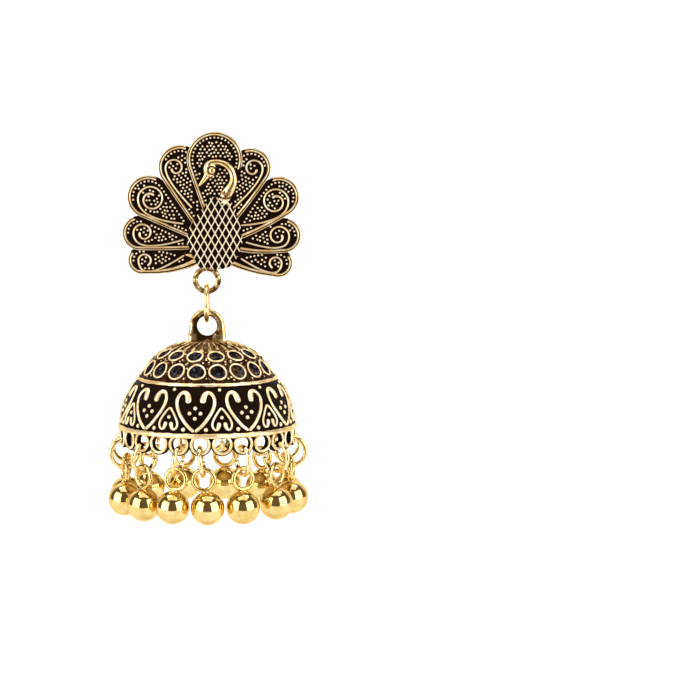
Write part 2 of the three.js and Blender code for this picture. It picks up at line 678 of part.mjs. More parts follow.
const dropRadius = (DROP_BORE + DROP_WIRE) / 2;
const dropMiddle = LINK_GAP - DROP_BORE / 2;
const eyeRadius = (EYE_BORE + EYE_WIRE) / 2;
const eyeMiddle = dropMiddle - dropRadius + (DROP_WIRE + EYE_WIRE) / 2 + LINK_GAP - eyeRadius;
const beadMiddle = eyeMiddle - eyeRadius - EYE_WIRE / 2 + BEAD_SEAT - BEAD_DIAMETER / 2;

function dropRingSolid() {
  const ring = new THREE.TorusGeometry(dropRadius, DROP_WIRE / 2, LINK_SIDES, LINK_STEPS);
  ring.rotateZ(Math.PI / 2 + Math.PI / LINK_STEPS).rotateY(Math.PI / 2);
  return solidOf(ring.translate(0, 0, dropMiddle));
}

function beadSolid() {
  const eye = new THREE.TorusGeometry(eyeRadius, EYE_WIRE / 2, LINK_SIDES, LINK_STEPS);
  eye.rotateZ(Math.PI / 2 + Math.PI / LINK_STEPS).rotateX(Math.PI / 2).translate(0, 0, eyeMiddle);
  const ball = new THREE.SphereGeometry(BEAD_DIAMETER / 2, 10, 6).rotateX(Math.PI / 2);
  ball.translate(0, 0, beadMiddle);
  return solidOf(eye).add(solidOf(ball));
}

// The first and the last drop hang in neighbouring holes, so their beads press each other aside.
function leanOf(drop) {
  const holeChord = 2 * edgeRadius * Math.sin(Math.PI / HOLE_COUNT);
  const push = Math.max(BEAD_DIAMETER + BEAD_GAP - holeChord, 0) / 2;
  const lean = Math.asin(push / -beadMiddle);
  if (drop === 0) return -lean;
  return drop === DROP_COUNT - 1 ? lean : 0;
}

function dropGroup(drop) {
  const number = String(drop + 1).padStart(2, "0");
  const hang = new THREE.Group();
  hang.rotation.y = leanOf(drop);
  hang.position.set(0, -edgeRadius, holeMiddle - HOLE_DIAMETER / 2);
  hang.add(meshOf("drop_ring_" + number, dropRingSolid(), goldWire));
  hang.add(meshOf("bead_drop_" + number, beadSolid(), brightGold));
  const station = new THREE.Group();
  station.rotation.z = holeAngle(2 * drop);
  station.add(hang);
  return station;
}

function bellGroup() {
  const group = new THREE.Group();
  group.position.set(0, -HANG_DEPTH, domeTop);
  group.add(bellMesh());
  for (let drop = 0; drop < DROP_COUNT; drop++) group.add(dropGroup(drop));
  return group;
}

const earring = new THREE.Group();
earring.name = "jhumka_earring";
earring.add(plateMesh(), jumpRingMesh(), bellGroup());

export default earring;
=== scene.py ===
# A jhumka earring: peacock stud plate, jump ring, and a domed bell with thirteen bead drops.
# Sizes are in millimetres until they go into a mesh. The front faces -Y, and the viewer's right is +X.

import json
import math

import bmesh
import bpy
import numpy as np
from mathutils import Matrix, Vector


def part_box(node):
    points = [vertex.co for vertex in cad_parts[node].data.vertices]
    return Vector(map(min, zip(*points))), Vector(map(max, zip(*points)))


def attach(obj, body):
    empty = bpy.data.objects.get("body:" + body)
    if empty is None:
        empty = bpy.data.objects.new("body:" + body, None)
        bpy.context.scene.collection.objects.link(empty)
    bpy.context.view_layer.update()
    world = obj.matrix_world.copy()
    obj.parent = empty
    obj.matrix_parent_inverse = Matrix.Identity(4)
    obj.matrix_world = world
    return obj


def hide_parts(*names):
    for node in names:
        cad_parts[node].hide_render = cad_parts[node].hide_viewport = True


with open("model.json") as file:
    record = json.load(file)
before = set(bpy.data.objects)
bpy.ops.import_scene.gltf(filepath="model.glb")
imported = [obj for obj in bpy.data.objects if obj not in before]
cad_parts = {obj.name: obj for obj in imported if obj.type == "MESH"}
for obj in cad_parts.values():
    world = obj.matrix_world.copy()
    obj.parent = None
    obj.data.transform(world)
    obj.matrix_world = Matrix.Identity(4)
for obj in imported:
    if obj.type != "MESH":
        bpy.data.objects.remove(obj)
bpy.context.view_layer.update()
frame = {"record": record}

MM = 0.001
TAU = 2 * math.pi
X, Y, Z = np.eye(3)
FRONT = np.array([0, -1.0, 0])

# Places that come from the solids
link_low, link_high = (np.array(corner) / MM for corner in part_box("upper_jump_ring"))
joints = frame["record"]["behaviour"]["joints"]
joint_at = {joint["name"]: np.array(joint["pos_m"]) / MM for joint in joints}
hang_y = joint_at["bell_swing"][1]

# Peacock plate. Its heights are above its back.
FAN = 29.5  # across the widest lobes
FAN_SHIFT = 0.8  # the fan's middle, right of the bell's axis
BACK_SLAB = 0.16
FIELD = 0.75  # top of the dotted fields farthest back
LAYER_STEP = 0.05  # from one layer of lobes to the next
RIM_INSIDE = 0.66  # from a lobe's edge to its field
LINE_HALF = 0.17  # half the width of a scroll
LINE_HEIGHT = 0.25
DOT_RADIUS = 0.2
DOT_HEIGHT = 0.2
DOT_PITCH = 0.64
ROW_STEP = 0.87  # between staggered rows, as a share of the pitch
BODY_TOP = 1.35
LATTICE_PITCH = 1.2
LATTICE_RISE = 2.17
LATTICE_FOOT = 1.5  # lowest whole diamonds, above the body's foot
LATTICE_HALF = 0.1  # half the width of a line
LATTICE_DEPTH = 0.3
FIGURE_LIFT = 1.05  # middle line of neck, head and beak
NECK_HEIGHT = 0.62  # above that line
HEAD_RADII = (1.12, 0.85, 1.35)
EYE_RADIUS = 0.52
EYE_HEIGHT = 0.3
EYE_GROOVE = 0.66  # radius of the dark ring round the eye
LOOP_BORE = 2.9
LOOP_WIRE = 0.9
LOOP_SEAT = 0.45  # let into the foot of the body
POST_RADIUS = 0.45
POST_LENGTH = 11.0
NUT_GROOVES = (2.2, 1.5)  # back from the end of the post
PAD_RADIUS = 1.6
PAD_HEIGHT = 0.4

# Jump ring
JUMP_BORE = 5.1
JUMP_WIRE = 0.8
JUMP_SPLIT = 0.012  # half the angle of the saw cut, in radians

# Bell. A drop is from the top of the dome, and a rise is up from the rim line along the dome.
BELL_RADIUS = 14.5
DOME_HEIGHT = 13.9
BELL_WALL = 0.95
CROWN = 1.3  # metal over the hollow, on the axis
BAND_DROP = 6.0
RIM_DROP = DOME_HEIGHT - 0.02
HEART_COUNT = 10
HEART_FIRST = -6.0
HEART_WIDTH = 7.6
HEART_HEIGHT = 7.25
HEART_LINE = 0.62
HEART_RISE = 0.35
LEAF_WIDTH = 3.9  # the small upturned hearts between the large ones
LEAF_HEIGHT = 4.1
LEAF_LINE = 0.42
LEAF_RISE = 0.75
HEART_CURL = 0.75  # by which share the curled ends are thicker
RIB_COUNT = 28
RIB_START = 2.4  # from the axis along the dome
RIB_END = 7.1
GRAIN_START = 6.9
GRAIN_PITCH = 0.6
BAIL_BORE = 3.25
BAIL_WIRE = 1.3
BAIL_THICKNESS = 1.3
BAIL_SEAT = 0.95  # metal between the bore and the top of the dome
BAIL_SINK = 0.8  # let into the crown
BAIL_FLARE = 0.3  # by which each leg widens downwards

# Pierced edge and drops
HOLE_COUNT = 25
HOLE_FIRST = -2.4
HOLE_RADIUS = 1.15
HOLE_DROP = 1.45  # from the rim line to the middle of the holes
HOLE_RING = 0.7  # metal round each hole, which scallops the edge
HOLE_WIRE = 0.54  # width of the raised ring on it
SKIRT_WALL = 0.75
SKIRT_INSET = 0.1
LINK_GAP = 0.3  # between two wires that hang in each other
DROP_COUNT = 13  # in every other hole, with the first and last side by side
DROP_BORE = 3.9
DROP_WIRE = 0.75
DROP_SPLIT = 0.014
EYE_BORE = 2.6
EYE_WIRE = 0.8
BALL_RADIUS = 2.75
BALL_SEAT = 0.15  # eye ring, let into the ball
BALL_GAP = 0.3  # between the two balls that hang side by side

# Finish levels: 0 is a dark recess, 1 is bright, above 1 is worn pale with a painted highlight, and below 0
# is lacquer.
LACQUER = -0.5
RUBBED_HIGHLIGHT = 1.3
HOLLOW_INSIDE = 0.6
LOOP_LEVEL = 0.4
RIB_LEVEL = 0.5
BEAK_LEVEL = 0.75

# Feather lobes, back to front, as shares of the fan's width: round end (x, z, r), root (x, z), bow, layer.
LOBES = {
    "left_5": (-0.388, -0.333, 0.079, 0, -0.326, 0.07, 0),
    "right_5": (0.374, -0.351, 0.079, 0.015, -0.322, 0.05, 0),
    "left_4": (-0.4005, -0.182, 0.096, 0, -0.268, 0.01, 1),
    "right_4": (0.403, -0.196, 0.096, 0.022, -0.257, 0.05, 1),
    "left_3": (-0.349, 0.0195, 0.119, -0.029, -0.249, 0, 2),
    "right_3": (0.378, 0.0195, 0.112, 0.072, -0.252, 0.03, 2),
    "left_2": (-0.172, 0.185, 0.122, -0.043, -0.223, 0, 3),
    "right_2": (0.223, 0.181, 0.11, 0.058, -0.205, 0.02, 3),
    "centre": (0.02, 0.227, 0.155, 0.02, -0.247, 0, 4),
}

# Scrolls: spiral (x, z, first radius, last radius, start, sweep), foot (x, z), ease of the stem.
SCROLLS = {
    "left_2": (-0.2023, 0.1798, 0.0519, 0.0147, 188, -365, -0.1065, -0.0423, 0.27),
    "left_3": (-0.3356, 0.0071, 0.0733, 0.0237, 186, -500, -0.1537, -0.1304, 0.37),
    "left_4": (-0.3814, -0.1833, 0.0541, 0.0147, 186, -390, -0.1523, -0.2186, 0.4),
    "left_5": (-0.373, -0.337, 0.0361, 0.0316, 186, -250, -0.1523, -0.3067, 0.5),
    "right_2": (0.2355, 0.1763, 0.0519, 0.0158, -8, 365, 0.1227, -0.0423, 0.27),
    "right_3": (0.3567, -0.0071, 0.0733, 0.0237, -6, 500, 0.1629, -0.1396, 0.37),
    "right_4": (0.3751, -0.2009, 0.0587, 0.0147, -6, 400, 0.1896, -0.2327, 0.42),
    "right_5": (0.3567, -0.3525, 0.035, 0.0305, -8, 250, 0.1629, -0.3243, 0.48),
}

# Share of each pair's stems, from the foot, beside which the outer channel still holds dots.
CHANNEL_DOTS = {"2": 0.12, "3": 0.5, "4": 0.5, "5": 0.1}

BODY_FOOT = -0.3821
BODY_OUTLINE = np.array([
    (0.0028, 0.0197), (-0.0451, -0.0423), (-0.0818, -0.0846), (-0.1135, -0.134), (-0.1396, -0.1974),
    (-0.1325, -0.2609), (-0.0959, -0.3314), (-0.0522, BODY_FOOT), (0.0719, BODY_FOOT), (0.1262, -0.3455),
    (0.165, -0.2679), (0.1734, -0.2115), (0.1579, -0.1269), (0.1332, -0.0423), (0.105, -0.0071),
])

# Neck from the head down to the body: x, z, width.
NECK = np.array([
    (-0.03, 0.19, 0.04), (-0.0056, 0.2076, 0.037), (0.0197, 0.2135, 0.0345), (0.0508, 0.2126, 0.0338),
    (0.0931, 0.1929, 0.0384), (0.1184, 0.1551, 0.0406), (0.1241, 0.1128, 0.0455), (0.1145, 0.081, 0.052),
    (0.098, 0.053, 0.06), (0.0805, 0.028, 0.067), (0.068, 0.008, 0.07),
])
# Share of the neck's length, finish level.
NECK_LEVEL = np.array([(0, 0.35), (0.12, 0.5), (0.2, 0.85), (0.6, 0.8), (0.82, 0.5), (1, 0.35)])
# Rays of the collar at the neck's foot: direction in degrees, length.
COLLAR = [(155, 1.1), (205, 0.75), (262, 0.7), (325, 1.25), (20, 0.9)]
HEAD = np.array([-0.0079, 0.1735])
EYE = np.array([0.006, 0.1685])
BEAK = np.array([(-0.0165, 0.1601), (-0.0338, 0.1241), (-0.0705, 0.079)])

# Rim of a lobe: distance in from its edge, height above the field, rise of the finish.
RIM = np.array([
    (0, -0.45, 0.3), (0, -0.1, 0.35), (0, 0.12, 0.5), (0.02, 0.21, 0.6), (0.08, 0.26, 0.7), (0.14, 0.25, 0.6),
    (0.19, 0.15, 0.2), (0.24, 0.12, 0.1), (0.28, 0.17, 0.3), (0.33, 0.3, 0.95), (0.41, 0.37, 1),
    (0.49, 0.36, 1), (0.56, 0.25, 0.85), (0.61, 0.08, 0.25), (0.66, 0.0, 0.05),
])

# Dome: share of its height down, share of the bell's radius out.
DOME = np.array([
    (0, 0), (0.006, 0.18), (0.043, 0.364), (0.101, 0.495), (0.18, 0.602), (0.273, 0.681), (0.403, 0.763),
    (0.561, 0.876), (0.691, 0.931), (0.799, 0.966), (0.914, 0.99), (1, 1),
])

# Rows of round cells: count, first angle, share of the dome's height down, outer diameter.
CELL_ROWS = [(14, -12.6, 0.122, 2.9), (18, -7.6, 0.288, 3.1)]
CELL_LINE = 0.36
CELL_BOWL = 0.42

# Right halves of the two hearts: share of half the width, share of the height.
HEART_HALF = np.array([
    (0.0, 0), (0.3, 0.13), (0.55, 0.28), (0.83, 0.5), (0.97, 0.69), (0.96, 0.85), (0.8, 0.97), (0.57, 0.98),
    (0.42, 0.88), (0.36, 0.7),
])
LEAF_HALF = np.array([
    (0.0, 1), (0.42, 0.76), (0.82, 0.44), (0.93, 0.22), (0.76, 0.04), (0.48, 0.04), (0.33, 0.18),
    (0.28, 0.36),
])

# Dots from the middle of a large heart, and of a small one: sideways, height above the rim line, radius.
HEART_DOTS = [(0, 4.55, 0.36), (0.9, 3.7, 0.36), (-0.9, 3.7, 0.36), (0, 2.85, 0.36)]
LEAF_DOTS = [(0, 3.0, 0.34), (2.65, 1.05, 0.38), (-2.65, 1.05, 0.38), (0, 7.75, 0.32)]


# Camera and light

LENS = 171.0
VIEW_RISE = 6.5
VIEW_DISTANCE = 550.0
VIEW_AIM = np.array([23.62, hang_y, -24.8])

# Softboxes: place, target, width, height, watts.
SOFTBOXES = {
    "softbox_left": ((-459, -321, 110), (0, 0, -20), 560, 620, 3.3),
    "softbox_right": ((459, -321, 110), (0, 0, -20), 560, 620, 3.3),
    "softbox_top": ((0, -60, 520), (0, 0, -20), 600, 500, 1.2),
    "softbox_wall": ((0, 100, 600), (0, 420, 60), 700, 200, 2.0),
}
SKY_LIGHT = (1.0, 0.76, 0.5, 1)
SKY_STRENGTH = 0.16
WHITE_PAPER = (0.93, 0.93, 0.93, 1)

# Backdrop: a floor that bends up into a wall
FLOOR_FRONT = -160
FLOOR_LEVEL = -90
BACKDROP_HALF = 900.0
BACKDROP_BEND = 170
WALL_BACK = 420
WALL_TOP = 700


def aim(thing, place, target):
    """Puts a lamp or camera at a place and turns its -Z axis to the target."""
    thing.location = Vector(place) * MM
    thing.rotation_euler = (Vector(target) - Vector(place)).to_track_quat("-Z", "Y").to_euler()
    bpy.context.scene.collection.objects.link(thing)


def make_camera():
    lens = bpy.data.cameras.new("camera")
    lens.lens = LENS
    lens.clip_start, lens.clip_end = 0.01, 10
    camera = bpy.data.objects.new("camera", lens)
    rise = math.radians(VIEW_RISE)
    back = np.array([0, -math.cos(rise), math.sin(rise)]) * VIEW_DISTANCE
    aim(camera, VIEW_AIM + back, VIEW_AIM)
    bpy.context.scene.camera = camera


def softbox(name, place, target, width, height, power):
    lamp = bpy.data.lights.new(name, "AREA")
    lamp.shape = "RECTANGLE"
    lamp.size, lamp.size_y = width * MM, height * MM
    lamp.energy = power
    aim(bpy.data.objects.new(name, lamp), place, target)


def make_sky():
    """A warm, dim sky for the light, which the camera sees as white."""
    world = bpy.data.worlds.new("studio")
    bpy.context.scene.world = world
    world.use_nodes = True
    tree = world.node_tree
    dim = tree.nodes["Background"]
    dim.inputs["Color"].default_value = SKY_LIGHT
    dim.inputs["Strength"].default_value = SKY_STRENGTH
    paper = add_node(tree, "ShaderNodeBackground", Color=(1, 1, 1, 1))
    seen = add_node(tree, "ShaderNodeLightPath")
    mixed = add_node(tree, "ShaderNodeMixShader")
    tree.links.new(seen.outputs["Is Camera Ray"], mixed.inputs[0])
    tree.links.new(dim.outputs[0], mixed.inputs[1])
    tree.links.new(paper.outputs[0], mixed.inputs[2])
    tree.links.new(mixed.outputs[0], tree.nodes["World Output"].inputs["Surface"])


def make_backdrop():
    """White paper: floor, quarter circle and wall, drawn straight across."""
    turn = np.linspace(0, math.pi / 2, 16)
    y = np.concatenate([[FLOOR_FRONT], WALL_BACK - BACKDROP_BEND * (1 - np.sin(turn)), [WALL_BACK]])
    z = np.concatenate([[FLOOR_LEVEL], FLOOR_LEVEL + BACKDROP_BEND * (1 - np.cos(turn)), [WALL_TOP]])
    x = np.array([-BACKDROP_HALF, BACKDROP_HALF])
    points = spread(x[None, :], y[:, None], z[:, None])
    backdrop = mesh_object("backdrop", [skin(points, 0.0)])
    white = bpy.data.materials.new("white_paper")
    white.use_nodes = True
    shader = white.node_tree.nodes["Principled BSDF"]
    shader.inputs["Base Color"].default_value = WHITE_PAPER
    shader.inputs["Roughness"].default_value = 0.9
    backdrop.data.materials.append(white)


def make_studio():
    for name, box in SOFTBOXES.items():
        softbox(name, *box)
    make_sky()
    make_backdrop()
    bpy.context.scene.view_settings.view_transform = "Standard"


# Finishes

# Lacquer colours: the grey-blue one is a painted glint on the black, and the brown is the lacquer's own tone.
LACQUER_BLACK, LACQUER_PAINTED_GLINT = (0.005, 0.004, 0.004), (0.075, 0.08, 0.13)
LACQUER_BROWN = (0.14, 0.075, 0.03)
LACQUER_ROUGH = 0.15
# Pale cream for the crests: partly wear and partly a painted highlight.
RUBBED_HIGHLIGHT_GOLD = (1.0, 0.93, 0.72)
BROWN_GLOSS = (1.0, 0.78, 0.5, 1)
GRAIN_SIZE = 0.2
GLINT_PATCH_SIZE = 0.5


def add_node(tree, kind, **values):
    node = tree.nodes.new(kind)
    for key, value in values.items():
        if key in node.inputs:
            node.inputs[key].default_value = value
        else:
            setattr(node, key, value)
    return node


def noise(tree, place, size, detail):
    """Noise whose features are about so many millimetres wide."""
    node = add_node(tree, "ShaderNodeTexNoise", Scale=1 / (size * MM), Detail=detail)
    tree.links.new(place.outputs["Object"], node.inputs["Vector"])
    return node.outputs["Fac"]


def sum_of(tree, first, second, factor):
    """first + factor * second."""
    node = add_node(tree, "ShaderNodeMath", operation="MULTIPLY_ADD")
    tree.links.new(second, node.inputs[0])
    node.inputs[1].default_value = factor
    tree.links.new(first, node.inputs[2])
    return node.outputs[0]


def between(tree, value, low, high, new_low=0, new_high=1):
    """A smooth step from the new low to the new high, as the value goes from low to high."""
    node = add_node(tree, "ShaderNodeMapRange", interpolation_type="SMOOTHSTEP")
    tree.links.new(value, node.inputs["Value"])
    for key, number in {"From Min": low, "From Max": high, "To Min": new_low, "To Max": new_high}.items():
        node.inputs[key].default_value = number
    return node.outputs["Result"]


def blend(tree, factor, first, second):
    """First where the factor is 0 and second where it is 1. Each is a colour or a socket."""
    node = add_node(tree, "ShaderNodeMix", data_type="RGBA")
    tree.links.new(factor, node.inputs["Factor"])
    for socket, colour in zip((node.inputs[6], node.inputs[7]), (first, second)):
        if isinstance(colour, tuple):
            socket.default_value = (*colour, 1)
        else:
            tree.links.new(colour, socket)
    return node.outputs[2]


def finish(name, dark, brown, gold, pale, *, rough, dark_rough, low, high, blotch, size, grain, bump):
    """Gold whose raised parts are bright and whose recesses keep a dark finish.

    The attribute "rise" plus blotch and grain times two noises gives the share of gold, from low to high.
    The colour runs from dark through brown to gold, which has paler patches. A rise above 1 is pale, partly
    from wear and partly as a painted highlight, and one below 0 is blue-black lacquer with brown patches and
    with grey patches that are painted glints."""
    material = bpy.data.materials.new(name)
    material.use_nodes = True
    tree = material.node_tree
    shader = tree.nodes["Principled BSDF"]
    place = add_node(tree, "ShaderNodeTexCoord")
    rise = add_node(tree, "ShaderNodeAttribute", attribute_name="rise").outputs["Fac"]
    blotches = noise(tree, place, size, 3)
    grains = noise(tree, place, GRAIN_SIZE, 2)
    glint_patches = noise(tree, place, GLINT_PATCH_SIZE, 2)
    height = sum_of(tree, rise, blotches, blotch)
    height = sum_of(tree, height, grains, grain)
    share = between(tree, height, low, high)
    lacquer = between(tree, rise, -0.35, -0.05, 1, 0)
    # Above a rise of 1 the colour turns pale cream: partly wear on the crests, partly a painted highlight.
    rubbed_highlight = between(tree, rise, 1.05, 1.4)

    # Painted glints: grey-blue patches on the black lacquer, then brown patches of its own colour.
    coat = blend(tree, between(tree, glint_patches, 0.5, 0.7), LACQUER_BLACK, LACQUER_PAINTED_GLINT)
    coat = blend(tree, between(tree, blotches, 0.56, 0.66, 0, 0.7), coat, LACQUER_BROWN)
    ground = blend(tree, lacquer, dark, coat)
    ground = blend(tree, between(tree, share, 0, 0.5), ground, brown)
    bright = blend(tree, between(tree, blotches, 0.4, 0.62), gold, pale)
    bright = blend(tree, rubbed_highlight, bright, RUBBED_HIGHLIGHT_GOLD)
    colour = blend(tree, between(tree, share, 0.3, 0.9), ground, bright)
    tree.links.new(colour, shader.inputs["Base Color"])
    tree.links.new(between(tree, share, 0.1, 0.6), shader.inputs["Metallic"])

    roughness = sum_of(tree, between(tree, share, 0, 1, dark_rough, rough), grains, 0.12)
    roughness = sum_of(tree, roughness, lacquer, LACQUER_ROUGH - dark_rough)
    roughness = sum_of(tree, roughness, rubbed_highlight, 0.12)
    tree.links.new(roughness, shader.inputs["Roughness"])
    shader.inputs["Specular IOR Level"].default_value = 0.06
    shader.inputs["Specular Tint"].default_value = BROWN_GLOSS
    bumps = add_node(tree, "ShaderNodeBump", Strength=bump, Distance=0.05 * MM)
    tree.links.new(grains, bumps.inputs["Height"])
    tree.links.new(bumps.outputs["Normal"], shader.inputs["Normal"])
    return material


def make_finishes():
    ball_gold, ball_pale = (0.74, 0.53, 0.18), (0.84, 0.65, 0.29)
    smooth = {"low": 0, "high": 0.5, "blotch": 0.1, "size": 1.6}
    return {
        "aged": finish(
            "aged_gold", (0.0055, 0.002, 0.0005), (0.14, 0.055, 0.01), (0.88, 0.64, 0.3), (1.0, 0.87, 0.6),
            rough=0.32, dark_rough=0.5, low=0.68, high=1.12, blotch=0.2, size=1.6, grain=0.6, bump=0.5),
        "cast": finish(
            "cast_gold", (0.015, 0.006, 0.001), (0.2, 0.09, 0.018), (0.82, 0.56, 0.21), (0.98, 0.82, 0.5),
            rough=0.17, dark_rough=0.4, low=0.8, high=1.25, blotch=0.8, size=0.9, grain=0.4, bump=0.35),
        "satin": finish(
            "satin_gold", (0.12, 0.055, 0.012), (0.3, 0.16, 0.045), (0.66, 0.43, 0.16), (0.74, 0.52, 0.23),
            rough=0.3, dark_rough=0.4, low=0.4, high=1.3, blotch=0.5, size=3.0, grain=0.3, bump=0.3),
        "ball": finish(
            "polished_gold", ball_gold, ball_gold, ball_gold, ball_pale,
            rough=0.04, dark_rough=0.1, grain=0, bump=0.03, **smooth),
        "wire": finish(
            "drawn_wire", ball_gold, ball_gold, (0.84, 0.63, 0.28), (0.93, 0.76, 0.44),
            rough=0.08, dark_rough=0.2, grain=0.02, bump=0.05, **smooth),
    }


# Skins: a grid of points, its faces, and how far its finish stands up from the ground

def skin(points, rise, wrap_rows=False, wrap_columns=False):
    """Quads between the neighbours of a grid. Wrapping joins the last row or column to the first."""
    rows, columns = points.shape[:2]
    i = np.arange(rows if wrap_rows else rows - 1)[:, None]
    j = np.arange(columns if wrap_columns else columns - 1)[None, :]
    below, beside = (i + 1) % rows, (j + 1) % columns
    corners = (i * columns + j, below * columns + j, below * columns + beside, i * columns + beside)
    faces = np.stack(np.broadcast_arrays(*corners), -1).reshape(-1, 4)
    return points.reshape(-1, 3), faces, np.broadcast_to(rise, (rows, columns)).reshape(-1)


def mesh_object(name, skins):
    """One mesh from several skins: doubles merged, faces turned outwards, sharp edges kept sharp."""
    starts = np.cumsum([0] + [len(points) for points, _, _ in skins[:-1]])
    points = np.concatenate([points for points, _, _ in skins]) * MM
    faces = np.concatenate([faces + start for (_, faces, _), start in zip(skins, starts)])
    rise = np.concatenate([rise for _, _, rise in skins])
    mesh = bpy.data.meshes.new(name)
    mesh.vertices.add(len(points))
    mesh.vertices.foreach_set("co", points.ravel())
    mesh.loops.add(faces.size)
    mesh.loops.foreach_set("vertex_index", faces.ravel())
    mesh.polygons.add(len(faces))
    mesh.polygons.foreach_set("loop_start", np.arange(len(faces)) * 4)
    mesh.update(calc_edges=True)
    mesh.attributes.new("rise", "FLOAT", "POINT").data.foreach_set("value", rise)
    shape = bmesh.new()
    shape.from_mesh(mesh)
    bmesh.ops.remove_doubles(shape, verts=shape.verts, dist=0.0002 * MM)
    bmesh.ops.recalc_face_normals(shape, faces=shape.faces)
    shape.to_mesh(mesh)
    shape.free()
    mesh.shade_smooth()
    mesh.set_sharp_from_angle(angle=math.radians(50))
    made = bpy.data.objects.new(name, mesh)
    bpy.context.scene.collection.objects.link(made)
    return made


def add_piece(name, skins, body, material, node):
    """A finished piece that rides its body and stands for a node."""
    made = mesh_object(name, skins)
    made.data.materials.append(material)
    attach(made, body)
    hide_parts(node)


def unit(vectors):
    return vectors / np.maximum(np.linalg.norm(vectors, axis=-1, keepdims=True), 1e-9)


def spread(*parts):
    """Points from coordinates that are broadcast to one grid."""
    return np.stack(np.broadcast_arrays(*parts), -1)


def heading(angle):
    """Flat unit vectors at angles."""
    return np.stack([np.cos(angle), np.sin(angle)], -1)


def way_along(path):
    """Distance from the start of a path to each of its points."""
    return np.concatenate([[0], np.cumsum(np.linalg.norm(np.diff(path, axis=0), axis=1))])


def rod(path, up, half_width, half_height, sides=12, closed=False, round_ends=None, top=1.0):
    """A rod along a path: path + half_width cos(a) side + half_height sin(a) up.

    Side is square to the path and to up. The ends shrink like a quarter circle to a point, over round_ends
    or half the width. Its finish rises by top times sin(a) to the power 0.6."""
    if closed:
        along = np.roll(path, -1, 0) - np.roll(path, 1, 0)
    else:
        along = np.gradient(path, axis=0)
    along = unit(along)
    side = unit(np.cross(along, up))
    up = unit(np.cross(side, along))
    width = np.broadcast_to(half_width, len(path)).astype(float)
    height = np.broadcast_to(half_height, len(path)).astype(float)
    if not closed:
        way = way_along(path)
        near = np.minimum(way, way[-1] - way) / (round_ends or width.max())
        taper = np.sqrt(np.clip(1 - (1 - np.clip(near, 0, 1)) ** 2, 0, 1))
        width, height = width * taper, height * taper
    a = np.arange(sides) / sides * TAU
    across = (width[:, None] * np.cos(a))[..., None] * side[:, None]
    raised = (height[:, None] * np.sin(a))[..., None] * up[:, None]
    rise = np.reshape(top, (-1, 1)) * np.clip(np.sin(a), 0, 1)[None, :] ** 0.6
    return skin(path[:, None] + across + raised, rise, wrap_rows=closed, wrap_columns=True)


def all_at(shape, level=1.0):
    """The same skin with its whole surface raised by one level, or by one for each point."""
    points, faces, rise = shape
    return points, faces, np.broadcast_to(level, rise.shape).copy()


def curve_through(knots, steps, closed=False):
    """Catmull-Rom curve through the knots: each span is a cubic whose slopes come from its neighbours."""
    count = len(knots)
    if closed:
        before, start, end, after = (np.roll(knots, shift, 0) for shift in (1, 0, -1, -2))
    else:
        padded = np.concatenate([2 * knots[:1] - knots[1:2], knots, 2 * knots[-1:] - knots[-2:-1]])
        before, start, end, after = (padded[i:count - 1 + i] for i in range(4))
    t = np.linspace(0, 1, steps, endpoint=False)[None, :, None]
    before, start, end, after = (part[:, None] for part in (before, start, end, after))
    spans = 0.5 * (2 * start + (end - before) * t + (2 * before - 5 * start + 4 * end - after) * t ** 2
                   + (3 * start - before - 3 * end + after) * t ** 3)
    spans = spans.reshape(-1, knots.shape[1])
    return spans if closed else np.concatenate([spans, knots[-1:]])


def evenly(path, count):
    """The same path with points at equal distances."""
    way = way_along(path)
    at = np.linspace(0, way[-1], count)
    return np.stack([np.interp(at, way, column) for column in path.T], -1)


def domes(centres, ups, radius, height, around=8, rows=2, top=1.4):
    """Small domes: rings of a quarter ellipse, from an edge just under the ground up to the top."""
    quarter = np.linspace(-0.25, math.pi / 2, rows + 2)
    a = np.arange(around) / around * TAU
    helper = np.where(np.abs(ups[:, 2:]) < 0.9, np.array([[0, 0, 1.0]]), np.array([[1.0, 0, 0]]))
    side = unit(np.cross(ups, helper))
    other = np.cross(ups, side)
    flat = (np.cos(a)[:, None] * side[:, None] + np.sin(a)[:, None] * other[:, None])
    out = radius * np.cos(quarter)
    points = (centres[:, None, None] + out[None, :, None, None] * flat[:, None]
              + (height * np.sin(quarter))[None, :, None, None] * ups[:, None, None])
    base = np.broadcast_to((centres - height * 0.25 * ups)[:, None, None], (len(centres), 1, around, 3))
    points = np.concatenate([base, points], 1)
    level = np.concatenate([[0], np.clip(np.sin(quarter), 0, 1) ** 0.5])
    one_dome, faces, rise = skin(points[0], level[:, None], wrap_columns=True)
    shift = np.arange(len(centres))[:, None, None] * len(one_dome)
    tops = np.broadcast_to(top, len(centres))[:, None]
    return points.reshape(-1, 3), (faces[None] + shift).reshape(-1, 4), (tops * rise).reshape(-1)


# Peacock plate, worked out as (x, z, height in front of its back)

def in_front(flat, height):
    """Points of the plate in the object's frame: x shifted, y = -height."""
    return spread(flat[..., 0] + FAN_SHIFT, -np.asarray(height, float), flat[..., 1])


def lobe_outline(name, arc_steps=104, side_steps=44):
    """Arc round the end, then a bowed side down to the root and another back up."""
    x, z, r, root_x, root_z, bow, _ = LOBES[name]
    middle, root = np.array([x, z]), np.array([root_x, root_z])
    reach = root - middle
    angle = math.atan2(reach[1], reach[0])
    half = math.acos(r / np.hypot(*reach))
    a = np.linspace(angle + half, angle - half + TAU, arc_steps)
    arc = middle + r * heading(a)
    t = np.linspace(0, 1, side_steps + 1)[:, None]

    def side(start, end):
        chord = end - start
        bend = (start + end) / 2 + 2 * bow * np.array([chord[1], -chord[0]])
        return (1 - t) ** 2 * start + 2 * t * (1 - t) * bend + t ** 2 * end

    return np.concatenate([arc, side(arc[-1], root)[1:], side(root, arc[0])[1:-1]]) * FAN


outlines = {name: lobe_outline(name) for name in LOBES}
body_outline = curve_through(BODY_OUTLINE, 16, closed=True) * FAN
body_middle = np.array([0.015, -0.2]) * FAN


